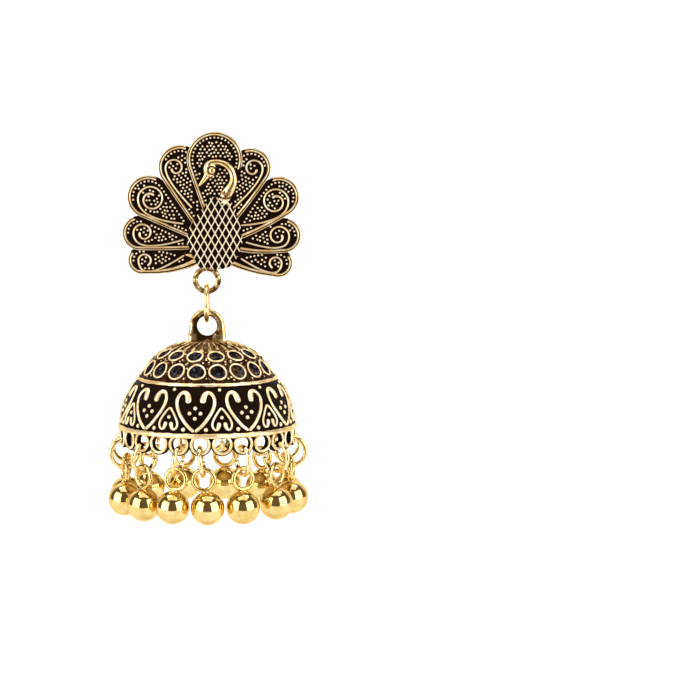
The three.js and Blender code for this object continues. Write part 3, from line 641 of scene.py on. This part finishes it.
def inside_by(flat, middle, outline, radius):
    """How far inside an outline a point lies: radius times (1 - its share of the way from the middle out),
    or with no radius the plain distance that is left."""
    rim = outline - middle
    angles = np.arctan2(rim[:, 1], rim[:, 0])
    order = np.argsort(angles)
    offset = flat - middle
    bearing = np.arctan2(offset[..., 1], offset[..., 0])
    edge = np.interp(bearing, angles[order], np.hypot(*rim.T)[order], period=TAU)
    far = np.hypot(offset[..., 0], offset[..., 1])
    return (edge - far) if radius is None else radius * (1 - far / edge)


def round_end(name):
    """Middle and radius of a lobe's round end."""
    x, z, r = np.array(LOBES[name][:3]) * FAN
    return np.array([x, z]), r


def inside_lobe(flat, name):
    """Depth inside a lobe, from 0 at its edge to its radius at the middle of its round end."""
    middle, r = round_end(name)
    return inside_by(flat, middle, outlines[name], r)


def inside_body(flat):
    """Depth inside the body, towards its middle."""
    return inside_by(flat, body_middle, body_outline, None)


def field_of(name):
    """Height of a lobe's field: one step more for each layer."""
    return FIELD + LAYER_STEP * LOBES[name][6]


def lobes_above(name):
    return [other for other in LOBES if LOBES[other][6] > LOBES[name][6]]


def headroom(flat, name):
    """The greatest height that the lobes and the body in front of this lobe leave at each point."""
    room = np.full(flat.shape[:-1], 9.0)
    for other in lobes_above(name):
        depth = inside_lobe(flat, other)
        limit = field_of(other) + 0.33 - 2.2 * (depth - 0.05)
        room = np.where(depth > 0.05, np.minimum(room, np.maximum(limit, 0.3)), room)
    return np.where(inside_body(flat) > 0.2, np.minimum(room, 0.5), room)


def rim_strength(name, outline):
    """1 where a lobe has its rim, and 0 close to the lobes in front, whose own rims show there alone.

    The centre lobe's right side runs into its neighbour without one."""
    strength = np.ones(len(outline))
    for other in lobes_above(name):
        strength = np.minimum(strength, np.clip((-inside_lobe(outline, other) - 0.35) / 0.4, 0, 1))
    if name == "centre":
        right = outline[:, 0] > LOBES[name][0] * FAN
        strength = np.where(right, np.clip((outline[:, 1] / FAN - 0.15) / 0.04, 0, 1), strength)
    return strength


def lobe_skin(name):
    """Polar grid about the round end: outline scaled by 1 - distance in / radius, at the rim's heights."""
    middle, r = round_end(name)
    outline = outlines[name]
    inward = np.concatenate([RIM[:, 0], np.linspace(RIM_INSIDE, r, 7)[1:]])
    above, level = np.concatenate([RIM[:, 1:], np.zeros((6, 2))]).T
    strength = rim_strength(name, outline)[:, None]
    flat = middle + (1 - inward / r)[None, :, None] * (outline - middle)[:, None]
    raised = np.where(above > 0, above * strength, above)
    height = np.minimum(field_of(name) + raised, headroom(flat, name))
    height[:, 0] = BACK_SLAB / 2
    rise = level * np.where(above > 0, strength, 1)
    flat = np.concatenate([np.broadcast_to(middle, flat[:, :1].shape), flat], 1)
    height = np.concatenate([height[:, :1], height], 1)
    rise = np.concatenate([np.zeros_like(rise[:, :1]), rise], 1)
    return skin(in_front(flat, height), rise, wrap_rows=True)


def scroll_path(name, spiral_steps=180, stem_steps=60):
    """Quadratic stem from its foot, then a spiral whose radius shrinks as the power 1.5 of the way."""
    x, z, first, last, start, sweep, foot_x, foot_z, ease = SCROLLS[name]
    t = np.linspace(0, 1, spiral_steps)
    angle = np.radians(start + sweep * t)
    radius = first + (last - first) * t ** 1.5
    spiral = (x, z) + radius[:, None] * heading(angle)
    foot, join = np.array([foot_x, foot_z]), spiral[0]
    back = unit(spiral[0] - spiral[1])
    bend = join + back * np.hypot(*(foot - join)) * ease
    u = np.linspace(0, 1, stem_steps + 1)[:-1, None]
    stem = (1 - u) ** 2 * foot + 2 * u * (1 - u) * bend + u ** 2 * join
    return np.concatenate([stem, spiral]) * FAN, stem_steps


def scroll_skin(name):
    """A rod along the scroll, on its lobe's field, that swells over the last of its length."""
    path = evenly(scroll_path(name)[0], 150)
    level = np.minimum(field_of(name) - 0.02, headroom(path, name) - 0.4)
    t = np.linspace(0, 1, len(path))
    half = LINE_HALF * (1 + 0.35 * np.clip((t - 0.93) / 0.07, 0, 1))
    return rod(in_front(path, level), FRONT, half, LINE_HEIGHT, top=1.2)


def gaps(places, line):
    """Distance from each place to each point of a flat line."""
    return np.hypot(*(places[:, None] - line[None]).transpose(2, 0, 1))


def dot_places(name):
    """Staggered dots on a lobe, with one row along its rim, clear of lines and of what lies in front."""
    middle, r = round_end(name)
    rim_gap = RIM_INSIDE + DOT_RADIUS + 0.06
    row = middle + (1 - rim_gap / r) * (outlines[name] - middle)
    row = np.concatenate([row, row[:1]])
    row = evenly(row, round(way_along(row)[-1] / DOT_PITCH) + 1)[:-1]
    axis = unit(middle - np.array(LOBES[name][3:5]) * FAN)
    across = np.array([axis[1], -axis[0]])
    i, j = np.meshgrid(np.arange(-40, 41), np.arange(-40, 41), indexing="ij")
    stagger = np.where(j % 2, 0.5, 0)
    fill = (middle + ((i + stagger) * DOT_PITCH)[..., None] * across
            + (j * DOT_PITCH * ROW_STEP)[..., None] * axis).reshape(-1, 2)
    wobble = np.sin(np.stack([fill[:, 0] * 7 + fill[:, 1] * 5, fill[:, 0] * 6 - fill[:, 1] * 9], -1))
    fill = (fill + 0.09 * wobble)[inside_lobe(fill, name) > rim_gap + 0.2]
    fill = fill[gaps(fill, row).min(1) > 0.8 * DOT_PITCH]
    places = np.concatenate([row, fill])
    keep = inside_body(places) < -0.3
    for other in lobes_above(name):
        keep &= inside_lobe(places, other) < -0.22
    if name in SCROLLS:
        path, stem = scroll_path(name)
        far = gaps(places, path)
        nearest = far.argmin(1)
        keep &= far.min(1) > LINE_HALF + DOT_RADIUS + 0.05
        along = np.gradient(path, axis=0)[nearest]
        gap = places - path[nearest]
        turn = along[:, 0] * gap[:, 1] - along[:, 1] * gap[:, 0]
        outer = turn > 0 if name.startswith("left") else turn < 0
        keep &= ~(outer & (nearest < stem) & (nearest > stem * CHANNEL_DOTS[name[-1]]))
    else:
        for line in (figure_line(NECK), figure_line(BEAK)):
            keep &= gaps(places, line).min(1) > 0.85
        keep &= np.hypot(*(places - HEAD * FAN).T) > 1.35
    return places[keep]


def figure_line(knots):
    return evenly(curve_through(knots[:, :2], 16), 90) * FAN


def dots_skin():
    """A dome at each dot of each lobe, on its field."""
    centres = np.concatenate([in_front(dot_places(name), field_of(name)) for name in LOBES])
    return domes(centres, np.broadcast_to(FRONT, centres.shape), DOT_RADIUS, DOT_HEIGHT)


def lattice_skins():
    """Domed field inside the body's outline, with two families of crossing lines raised on it."""
    z = np.linspace(body_outline[:, 1].min() + 0.01, body_outline[:, 1].max() - 0.01, 250)
    start, end = body_outline, np.roll(body_outline, -1, 0)
    share = (z[:, None] - start[:, 1]) / (end[:, 1] - start[:, 1] + 1e-12)
    crossing = start[:, 0] + share * (end[:, 0] - start[:, 0])
    hit = (share >= 0) & (share <= 1)
    left = np.where(hit, crossing, 99).min(1)
    right = np.where(hit, crossing, -99).max(1)
    v = np.linspace(0, 1, 200)
    x = left[:, None] + v * (right - left)[:, None]
    flat = spread(x, z[:, None])
    edge = np.maximum(inside_body(flat), 0)
    a = x / (LATTICE_PITCH / 2)
    b = (z[:, None] - BODY_FOOT * FAN - LATTICE_FOOT) / (LATTICE_RISE / 2)
    to_line = np.minimum(np.abs((a + b) % 2 - 1), np.abs((a - b) % 2 - 1))
    to_line = to_line / math.hypot(2 / LATTICE_PITCH, 2 / LATTICE_RISE)
    line = 1 / (1 + (to_line / LATTICE_HALF) ** 4)
    crown = BODY_TOP - 0.22 * np.exp(-edge / 0.35) - 0.05 * (1 - np.clip(edge / 3, 0, 1))
    top = in_front(flat, crown - LATTICE_DEPTH * (1 - line))
    wall = in_front(body_outline[:, None], np.array([[0.4, 0.9, 0.95]]))
    return [skin(top, 1.4 * line), skin(wall, np.array([0.0, 0.2, 0.3]), wrap_rows=True)]


def neck_skins():
    """Neck and beak as rods of changing width, a collar of rays at the neck's foot, and an egg-shaped head
    whose domed eye lies in a groove: a bell curve of the distance from the eye."""
    knots = evenly(curve_through(NECK, 16), 120) * FAN
    t = np.linspace(0, 1, 120)
    lift = FIGURE_LIFT - 0.3 * np.clip((t - 0.8) / 0.2, 0, 1) ** 1.5
    neck = rod(in_front(knots[:, :2], lift), FRONT, knots[:, 2] / 2, NECK_HEIGHT, sides=20, round_ends=0.35)
    line = evenly(curve_through(BEAK, 12), 40) * FAN
    u = np.linspace(0, 1, 40)
    beak = rod(in_front(line, FIGURE_LIFT + 0.1), FRONT, 0.56 - 0.42 * u ** 1.4, 0.5 - 0.34 * u, sides=16)
    made = [all_at(neck, np.repeat(np.interp(t, *NECK_LEVEL.T), 20)), all_at(beak, BEAK_LEVEL)]

    foot = knots[-1, :2] + (0.25, -0.35)
    way = np.linspace(0, 1, 12)
    for degrees, length in COLLAR:
        ray = foot + length * way[:, None] * heading(math.radians(degrees))
        made.append(rod(in_front(ray, BODY_TOP), FRONT, 0.34 - 0.2 * way, 0.24, top=RUBBED_HIGHLIGHT))

    polar = np.linspace(0, math.pi, 48)[:, None]
    around = np.arange(72)[None] / 72 * TAU
    ball = np.stack([np.sin(polar) * np.cos(around), -np.cos(polar) * np.ones_like(around),
                     np.sin(polar) * np.sin(around)], -1)
    head = in_front(HEAD * FAN, FIGURE_LIFT) + ball * HEAD_RADII
    far = np.hypot(*(head[..., [0, 2]] - in_front(EYE * FAN, 0)[[0, 2]]).transpose(2, 0, 1))
    groove = np.exp(-((far - EYE_GROOVE) / 0.13) ** 2) * (ball[..., 1] < 0)
    head[..., 1] += 0.14 * groove
    made.append(skin(head, 0.8 - 0.9 * groove, wrap_columns=True))
    eye = in_front(EYE * FAN, FIGURE_LIFT + 0.78)[None]
    made.append(domes(eye, FRONT[None], EYE_RADIUS, EYE_HEIGHT, around=24, rows=8, top=1.0))
    return made


def slab_skin():
    """Back of the plate: the farthest reach of lobes and body from one middle, with a rounded edge."""
    middle = np.array([0.012, -0.262]) * FAN
    angles = np.linspace(-math.pi, math.pi, 900, endpoint=False)
    far = np.linspace(0, 20, 900)
    rays = middle + far[None, :, None] * heading(angles)[:, None]
    depths = [inside_lobe(rays, name) for name in LOBES] + [inside_body(rays)]
    reach = np.max([np.where(depth > 0.02, far, 0).max(1) for depth in depths], axis=0)
    inward = np.array([99, 2, 0.5, 0.12, 0.03, 0, 0, 99])
    height = np.array([0, 0, 0, 0.01, 0.04, 0.08, BACK_SLAB, BACK_SLAB])
    radius = np.maximum(reach[:, None] - inward, 0)
    flat = middle + radius[..., None] * heading(angles)[:, None]
    level = np.array([0.5] * 4 + [0.7] * 2 + [0.0] * 2)
    return skin(in_front(flat, height[None]), level, wrap_rows=True)


def torus(middle, radius, wire, first, second, gap=0.0, steps=72):
    """A ring of round wire along middle + radius (cos a first + sin a second), open at a = 0 by a gap."""
    a = np.linspace(gap, TAU - gap, steps) if gap else np.arange(steps) / steps * TAU
    path = middle + radius * (np.cos(a)[:, None] * first + np.sin(a)[:, None] * second)
    return all_at(rod(path, unit(path - middle), wire / 2, wire / 2, sides=20, closed=not gap))


def lathe(profile, sides=64, axis=Z, first=X, second=Y):
    """Rows of (radius, height) turned about an axis through the origin."""
    a = np.arange(sides) / sides * TAU
    ring = np.cos(a)[:, None] * first + np.sin(a)[:, None] * second
    profile = np.asarray(profile, float)
    points = profile[:, :1, None] * ring[None] + profile[:, 1:, None] * axis
    return skin(points, np.ones((1, 1)), wrap_columns=True)


loop_radius = (LOOP_BORE + LOOP_WIRE) / 2
loop_middle = np.array([0, hang_y, BODY_FOOT * FAN + LOOP_SEAT - LOOP_BORE / 2 - LOOP_WIRE])


def post_profile():
    """Straight post with two grooves for the nut and a rounded tip."""
    y = np.linspace(0.2, POST_LENGTH, 120)
    grooves = sum(np.exp(-((y - (POST_LENGTH - back)) / 0.16) ** 2) for back in NUT_GROOVES)
    shaft = np.stack([POST_RADIUS - 0.07 * grooves, y], -1)
    t = np.linspace(0, math.pi / 2, 10)[1:]
    tip = np.stack([POST_RADIUS * np.cos(t), POST_LENGTH + POST_RADIUS * np.sin(t)], -1)
    fillet = np.array([(0, 0.05), (1.05, 0.05), (1.05, 0.4), (0.8, 0.45), (0.6, 0.6), (0.5, 0.9)])
    return np.concatenate([fillet, shaft[shaft[:, 1] > 1], tip])


def dress_plate(finishes):
    loop = all_at(torus(loop_middle, loop_radius, LOOP_WIRE, X, Z), LOOP_LEVEL)
    pad = [(0, -0.1), (PAD_RADIUS, -0.1), (PAD_RADIUS, PAD_HEIGHT - 0.1), (PAD_RADIUS - 0.1, PAD_HEIGHT),
           (0, PAD_HEIGHT)]
    post = [lathe(pad, 64, Y, X, Z), lathe(post_profile(), 40, Y, X, Z)]
    for name, skins, kind in (
        ("feather_lobes", [lobe_skin(lobe) for lobe in LOBES], "aged"),
        ("feather_scrolls", [scroll_skin(lobe) for lobe in SCROLLS], "aged"),
        ("feather_dots", [dots_skin()], "aged"),
        ("peacock_body", lattice_skins(), "aged"),
        ("peacock_neck", neck_skins(), "cast"),
        ("plate_back", [slab_skin()], "satin"),
        ("plate_loop", [loop], "cast"),
    ):
        add_piece(name, skins, "stud", finishes[kind], "peacock_plate")
    add_piece("ear_post", post, "stud", finishes["wire"], "peacock_plate")


# Jump ring

jump_radius = (JUMP_BORE + JUMP_WIRE) / 2
jump_middle = np.array([0, hang_y, (link_low[2] + link_high[2]) / 2])


def dress_link(finishes):
    ring = torus(jump_middle, jump_radius, JUMP_WIRE, Y, Z, JUMP_SPLIT, steps=120)
    add_piece("jump_ring", [ring], "link", finishes["wire"], "upper_jump_ring")


# Bell, about its own axis

bail_radius = (BAIL_BORE + BAIL_WIRE) / 2
ring_foot = joint_at["bell_swing"][2]
bail_middle = ring_foot + (JUMP_WIRE + BAIL_WIRE) / 2 + LINK_GAP - bail_radius
bell_top = np.array([0, hang_y, bail_middle - BAIL_BORE / 2 - BAIL_SEAT])

dome_knots = np.stack([DOME[:, 1] * BELL_RADIUS, -DOME[:, 0] * DOME_HEIGHT], -1)
dome_line = evenly(curve_through(dome_knots, 60), 3000)
dome_slope = unit(np.gradient(dome_line, axis=0))
dome_way = way_along(dome_line)
dome_slant = dome_way[-1]


def slant_at(drop):
    """Way along the dome from its top to so far below it."""
    return np.interp(drop, -dome_line[:, 1], dome_way)


def radius_at(slant):
    """The dome's radius so far along it."""
    return np.interp(slant, dome_way, dome_line[:, 0])


def around_bell(out, angle, z):
    """Points so far out from the bell's axis, at an angle from the front."""
    return spread(out * np.sin(angle), -out * np.cos(angle), z)


def dome_up(angle, slant):
    """Outward normal of the dome: its slope turned by a quarter."""
    along_out, along_z = (np.interp(slant, dome_way, slope) for slope in dome_slope.T)
    return unit(around_bell(-along_z, angle, along_out))


def on_dome(angle, slant, lift=0.0):
    """A point at an angle from the front, so far along the dome and so far above it."""
    out, z = (np.interp(slant, dome_way, line) for line in dome_line.T)
    return bell_top + around_bell(out, angle, z) + np.asarray(lift)[..., None] * dome_up(angle, slant)


def laid(flat, angle, slant):
    """Lays a flat path on the dome, its x round the dome and its y up it, and gives the normals too."""
    across = angle + flat[:, 0] / radius_at(slant)
    down = slant - flat[:, 1]
    return on_dome(across, down), dome_up(across, down)


def cells():
    """Angle, slant and diameter of each cell."""
    for count, first, down, diameter in CELL_ROWS:
        for i in range(count):
            yield math.radians(first + 360 * i / count), slant_at(down * DOME_HEIGHT), diameter


def from_cell(angle, slant, at, along):
    """Distance on the dome from the middle of a cell."""
    across = ((angle - at + math.pi) % TAU - math.pi) * radius_at(along)
    return np.hypot(across, slant - along)


def shell_skin():
    """Outside of the dome, with a bowl of depth 1 - share squared pressed in for each cell, then round the
    mouth and up the inside, which lies one wall inside the dome's line."""
    angle = np.linspace(0, TAU, 540, endpoint=False)
    a, s = np.meshgrid(angle, np.linspace(0, dome_slant, 116), indexing="ij")
    band = slant_at(BAND_DROP)
    lift = np.zeros(a.shape)
    level = np.interp(s, [0, 4, 6.5, band - 0.5, band], [0.48, 0.46, 0.4, 0.36, 0.12])
    for at, along, diameter in cells():
        share = from_cell(a, s, at, along) / (diameter / 2 - CELL_LINE * 0.7)
        lift -= CELL_BOWL * np.clip(1 - share ** 2, 0, 1)
        level = np.where(share < 1, LACQUER, level)
    mouth = BELL_RADIUS - BELL_WALL
    inner = dome_line[::-80] + BELL_WALL * dome_slope[::-80, ::-1] * (1, -1)
    inner = inner[(inner[:, 0] > 0.6) & (inner[:, 1] > 0.3 - DOME_HEIGHT)]
    inner[:, 1] = np.minimum(inner[:, 1], -CROWN)
    ledge = np.array([(BELL_RADIUS, -DOME_HEIGHT - 0.3), (mouth, -DOME_HEIGHT - 0.3), (mouth, -DOME_HEIGHT)])
    out, z = np.concatenate([ledge, inner, [(0, -CROWN)]]).T
    inside = bell_top + around_bell(out, angle[:, None], z)
    points = np.concatenate([on_dome(a, s, lift), inside], 1)
    level = np.concatenate([level, np.full(inside.shape[:2], HOLLOW_INSIDE)], 1)
    return skin(points, level, wrap_rows=True)


def ring_line(drop, half_width, height, dulling=0.0, wave=0.03):
    """A raised line round the dome, a little uneven as cast lines are, duller at five places round it, one of
    them at the front.
    """
    a = np.linspace(0, TAU, 720, endpoint=False)
    slant = slant_at(drop) + wave * np.sin(9 * a) * np.sin(23 * a + 1)
    half = half_width * (1 + 0.12 * np.sin(17 * a + 2) * np.sin(41 * a))
    top = 1.15 - dulling * np.clip(np.cos(5 * a + 0.2), 0, 1) ** 2
    return rod(on_dome(a, slant), dome_up(a, slant), half, height, closed=True, top=top)


def cell_rings():
    """A wire round each cell: a circle with two small waves, which make each one a little uneven."""
    a = np.arange(40) / 40 * TAU
    made = []
    for i, (angle, slant, diameter) in enumerate(cells()):
        radius = (diameter - CELL_LINE) / 2 * (1 + 0.03 * np.sin(2 * a + i) + 0.02 * np.sin(3 * a + 2 * i))
        path, up = laid(radius[:, None] * heading(a), angle, slant)
        made.append(rod(path, up, CELL_LINE / 2, 0.2, sides=10, closed=True, top=1.25))
    return made


def half_hearts(half, width, height, line, first, rise):
    """Both halves of each heart as rods, thicker towards their curled ends."""
    made = []
    knots = np.stack([half[:, 0] * (width - line) / 2, half[:, 1] * (height - line) + line / 2], -1)
    path = evenly(curve_through(knots, 14), 64)
    t = np.linspace(0, 1, len(path))
    thick = line / 2 * (1 + HEART_CURL * np.clip((t - 0.7) / 0.18, 0, 1) ** 1.5)
    high = 0.28 + 0.08 * np.clip((t - 0.7) / 0.3, 0, 1)
    for i in range(HEART_COUNT):
        for side in (1, -1):
            angle = math.radians(first + 360 * i / HEART_COUNT)
            at, up = laid(path * (side, 1), angle, dome_slant - rise)
            made.append(rod(at, up, thick, high, sides=10, top=RUBBED_HIGHLIGHT))
    return made


def bell_dots():
    """Domes in and beside the hearts, a ring of them for each row of the two tables."""
    made = []
    for first, dots in ((0, HEART_DOTS), (0.5, LEAF_DOTS)):
        middles = math.radians(HEART_FIRST) + (np.arange(HEART_COUNT) + first) * TAU / HEART_COUNT
        for x, up, radius in dots:
            slant = np.full(HEART_COUNT, dome_slant - up)
            angle = middles + x / radius_at(slant)
            made.append(domes(on_dome(angle, slant), dome_up(angle, slant), radius, 0.26, around=10))
    return made


def granules():
    """Fine grains on the ground between the round cells, on a staggered grid of angle and slant."""
    rows = []
    for j, slant in enumerate(np.arange(GRAIN_START, slant_at(BAND_DROP) - 0.55, GRAIN_PITCH * ROW_STEP)):
        i = np.arange(round(TAU * radius_at(slant) / GRAIN_PITCH))
        angle = (i + 0.5 * (j % 2)) * TAU / len(i)
        rows.append(np.stack([angle + 0.2 / radius_at(slant) * np.sin(7.3 * i + 2 * j),
                              slant + 0.17 * np.sin(5.1 * i + j)], -1))
    angle, slant = np.concatenate(rows).T
    keep = np.ones(len(angle), bool)
    for at, along, diameter in cells():
        keep &= from_cell(angle, slant, at, along) > diameter / 2 + 0.16
    angle, slant = angle[keep], slant[keep]
    top = 0.55 + 0.3 * np.sin(3.7 * np.arange(len(angle)))
    return domes(on_dome(angle, slant), dome_up(angle, slant), 0.2, 0.14, around=7, rows=1, top=top)


def cap_ribs():
    """Ridges from the foot of the bail to the upper cells, wider and lower as they go down."""
    made = []
    t = np.linspace(0, 1, 30)
    slant = RIB_START + (RIB_END - RIB_START) * t
    for i in range(RIB_COUNT):
        angle = np.full(len(t), math.radians((i + 0.5) * 360 / RIB_COUNT))
        made.append(rod(on_dome(angle, slant), dome_up(angle, slant), 0.2 + 0.2 * t, 0.28 - 0.14 * t,
                        sides=10, top=RIB_LEVEL))
    return made


def bail_skin():
    """Flat ring on splayed legs: from the bore out to the edge, as a rounded section all the way round."""
    a = np.linspace(0, TAU, 128, endpoint=False)
    up, across = np.sin(a), np.abs(np.cos(a))
    outer = bail_radius + BAIL_WIRE / 2
    foot = BAIL_BORE / 2 + BAIL_SEAT + BAIL_SINK
    leg = (outer + BAIL_FLARE * np.clip(-up, 0, 1) * 1.4) / np.maximum(across, 1e-6)
    sole = foot / np.maximum(-up, 1e-6)
    reach = np.where(up < 0, np.minimum(leg, sole), outer)
    b = np.linspace(0, TAU, 28, endpoint=False)
    section, depth = (np.sign(wave) * np.abs(wave) ** 0.8 for wave in heading(b).T)
    depth = depth * BAIL_THICKNESS / 2
    inner = BAIL_BORE / 2
    radius = (inner + reach[:, None]) / 2 + section * (reach[:, None] - inner) / 2
    x, z = radius * np.cos(a)[:, None], radius * np.sin(a)[:, None]
    points = spread(x, depth, z) + (0, hang_y, bail_middle)
    # Darker towards the bore, as patina in the hollow; lighter over the top and towards the viewer's right as
    # painted light, and darker on the left as painted shade.
    rise = 0.44 + 0.28 * section[None, :] + (0.13 * np.cos(a) + 0.1 * np.maximum(np.sin(a), 0))[:, None]
    return skin(points, np.clip(rise, 0, 1), wrap_rows=True, wrap_columns=True)


hole_z = bell_top[2] - DOME_HEIGHT - HOLE_DROP
edge_radius = BELL_RADIUS - SKIRT_INSET - SKIRT_WALL / 2


def skirt_skins():
    """One tile for each hole: rings about the hole from its edge to the tile's border, bent round the bell.

    The front has a ring as high as the root of 1 - (way across the ring) squared; the back is plain."""
    step = TAU / HOLE_COUNT
    pitch = step * edge_radius
    a = np.arange(72) / 72 * TAU
    sideways = pitch / 2 / np.maximum(np.abs(np.cos(a)), 1e-6)
    upward = HOLE_DROP / np.maximum(np.sin(a), 1e-6)
    scallop = HOLE_RADIUS + HOLE_RING
    border = np.minimum(sideways, np.where(np.sin(a) > 0, upward, scallop))
    back = [1, 0.5, 0]
    share = np.array(back + [0, 0.04, 0.1, 0.2, 0.33, 0.46, 0.57, 0.66, 0.74, 0.86, 1])
    front = np.arange(len(share)) >= len(back)
    radius = HOLE_RADIUS + share * (border[:, None] - HOLE_RADIUS)
    across = 2 * (radius - HOLE_RADIUS) / HOLE_WIRE - 1
    band = np.sqrt(np.clip(1 - across ** 2, 0, 1))
    lift = np.where(front, SKIRT_WALL / 2 - 0.12 + 0.36 * band, -SKIRT_WALL / 2)
    rise = np.where(front, np.clip(1.15 * band, 0.2, 1.0), 0.3)
    x, z = radius * np.cos(a)[:, None], radius * np.sin(a)[:, None]
    made = []
    for i in range(HOLE_COUNT):
        angle = math.radians(HOLE_FIRST) + i * step + x / edge_radius
        points = around_bell(edge_radius + lift, angle, z) + (0, hang_y, hole_z)
        made.append(skin(points, rise, wrap_rows=True, wrap_columns=True))
    return made


def dress_bell(finishes):
    lines = [ring_line(BAND_DROP, 0.33, 0.3, dulling=0.5), ring_line(RIM_DROP, 0.42, 0.34)]
    hearts = half_hearts(HEART_HALF, HEART_WIDTH, HEART_HEIGHT, HEART_LINE, HEART_FIRST, HEART_RISE)
    leaf_first = HEART_FIRST + 180 / HEART_COUNT
    leaves = half_hearts(LEAF_HALF, LEAF_WIDTH, LEAF_HEIGHT, LEAF_LINE, leaf_first, LEAF_RISE)
    for name, skins, kind in (
        ("bell_shell", [shell_skin()], "aged"),
        ("bell_lines", lines, "aged"),
        ("bell_cells", cell_rings(), "aged"),
        ("bell_hearts", hearts + leaves, "aged"),
        ("bell_dots", bell_dots(), "aged"),
        ("bell_granules", [granules()], "aged"),
        ("bell_cap_ribs", cap_ribs(), "cast"),
        ("bell_bail", [bail_skin()], "cast"),
        ("bell_pierced_edge", skirt_skins(), "aged"),
    ):
        add_piece(name, skins, "bell", finishes[kind], "bell")


# Bead drops

drop_radius = (DROP_BORE + DROP_WIRE) / 2
drop_middle = LINK_GAP - DROP_BORE / 2
eye_radius = (EYE_BORE + EYE_WIRE) / 2
eye_middle = drop_middle - drop_radius + (DROP_WIRE + EYE_WIRE) / 2 + LINK_GAP - eye_radius
ball_middle = eye_middle - eye_radius - EYE_WIRE / 2 + BALL_SEAT - BALL_RADIUS


def hung(shape, drop):
    """Moves a skin drawn about the lower edge of its hole: lean about its own Y, then round the bell."""
    points, faces, rise = shape
    chord = 2 * edge_radius * math.sin(math.pi / HOLE_COUNT)
    push = max(2 * BALL_RADIUS + BALL_GAP - chord, 0) / 2
    lean = math.asin(push / -ball_middle) * {0: -1, DROP_COUNT - 1: 1}.get(drop, 0)
    x, y, z = points.T
    x, z = x * math.cos(lean) + z * math.sin(lean), z * math.cos(lean) - x * math.sin(lean)
    angle = math.radians(HOLE_FIRST + 2 * drop * 360 / HOLE_COUNT)
    sine, cosine = math.sin(angle), math.cos(angle)
    y = y - edge_radius
    placed = np.stack([x * cosine - y * sine, x * sine + y * cosine, z], -1)
    return placed + (0, hang_y, hole_z - HOLE_RADIUS), faces, rise


def ball_profile():
    """Ball with a short soldered collar under the eye."""
    t = np.linspace(math.pi, 0.23, 60)
    ball = np.stack([BALL_RADIUS * np.sin(t), ball_middle + BALL_RADIUS * np.cos(t)], -1)
    top = ball_middle + BALL_RADIUS
    collar = np.array([(0.62, top - 0.02), (0.56, top + 0.08), (0.44, top + 0.14), (0, top + 0.14)])
    return np.concatenate([ball, collar])


def dress_drops(finishes):
    for drop in range(DROP_COUNT):
        number = f"{drop + 1:02d}"
        ring = torus(np.array([0, 0, drop_middle]), drop_radius, DROP_WIRE, Y, Z, DROP_SPLIT)
        add_piece("wire_ring_" + number, [hung(ring, drop)], "bell", finishes["wire"],
                  "drop_ring_" + number)
        eye = torus(np.array([0, 0, eye_middle]), eye_radius, EYE_WIRE, X, Z, steps=56)
        bead = [hung(eye, drop), hung(lathe(ball_profile()), drop)]
        add_piece("ball_" + number, bead, "bell", finishes["ball"], "bead_drop_" + number)


make_camera()
make_studio()
finishes = make_finishes()
dress_plate(finishes)
dress_link(finishes)
dress_bell(finishes)
dress_drops(finishes)
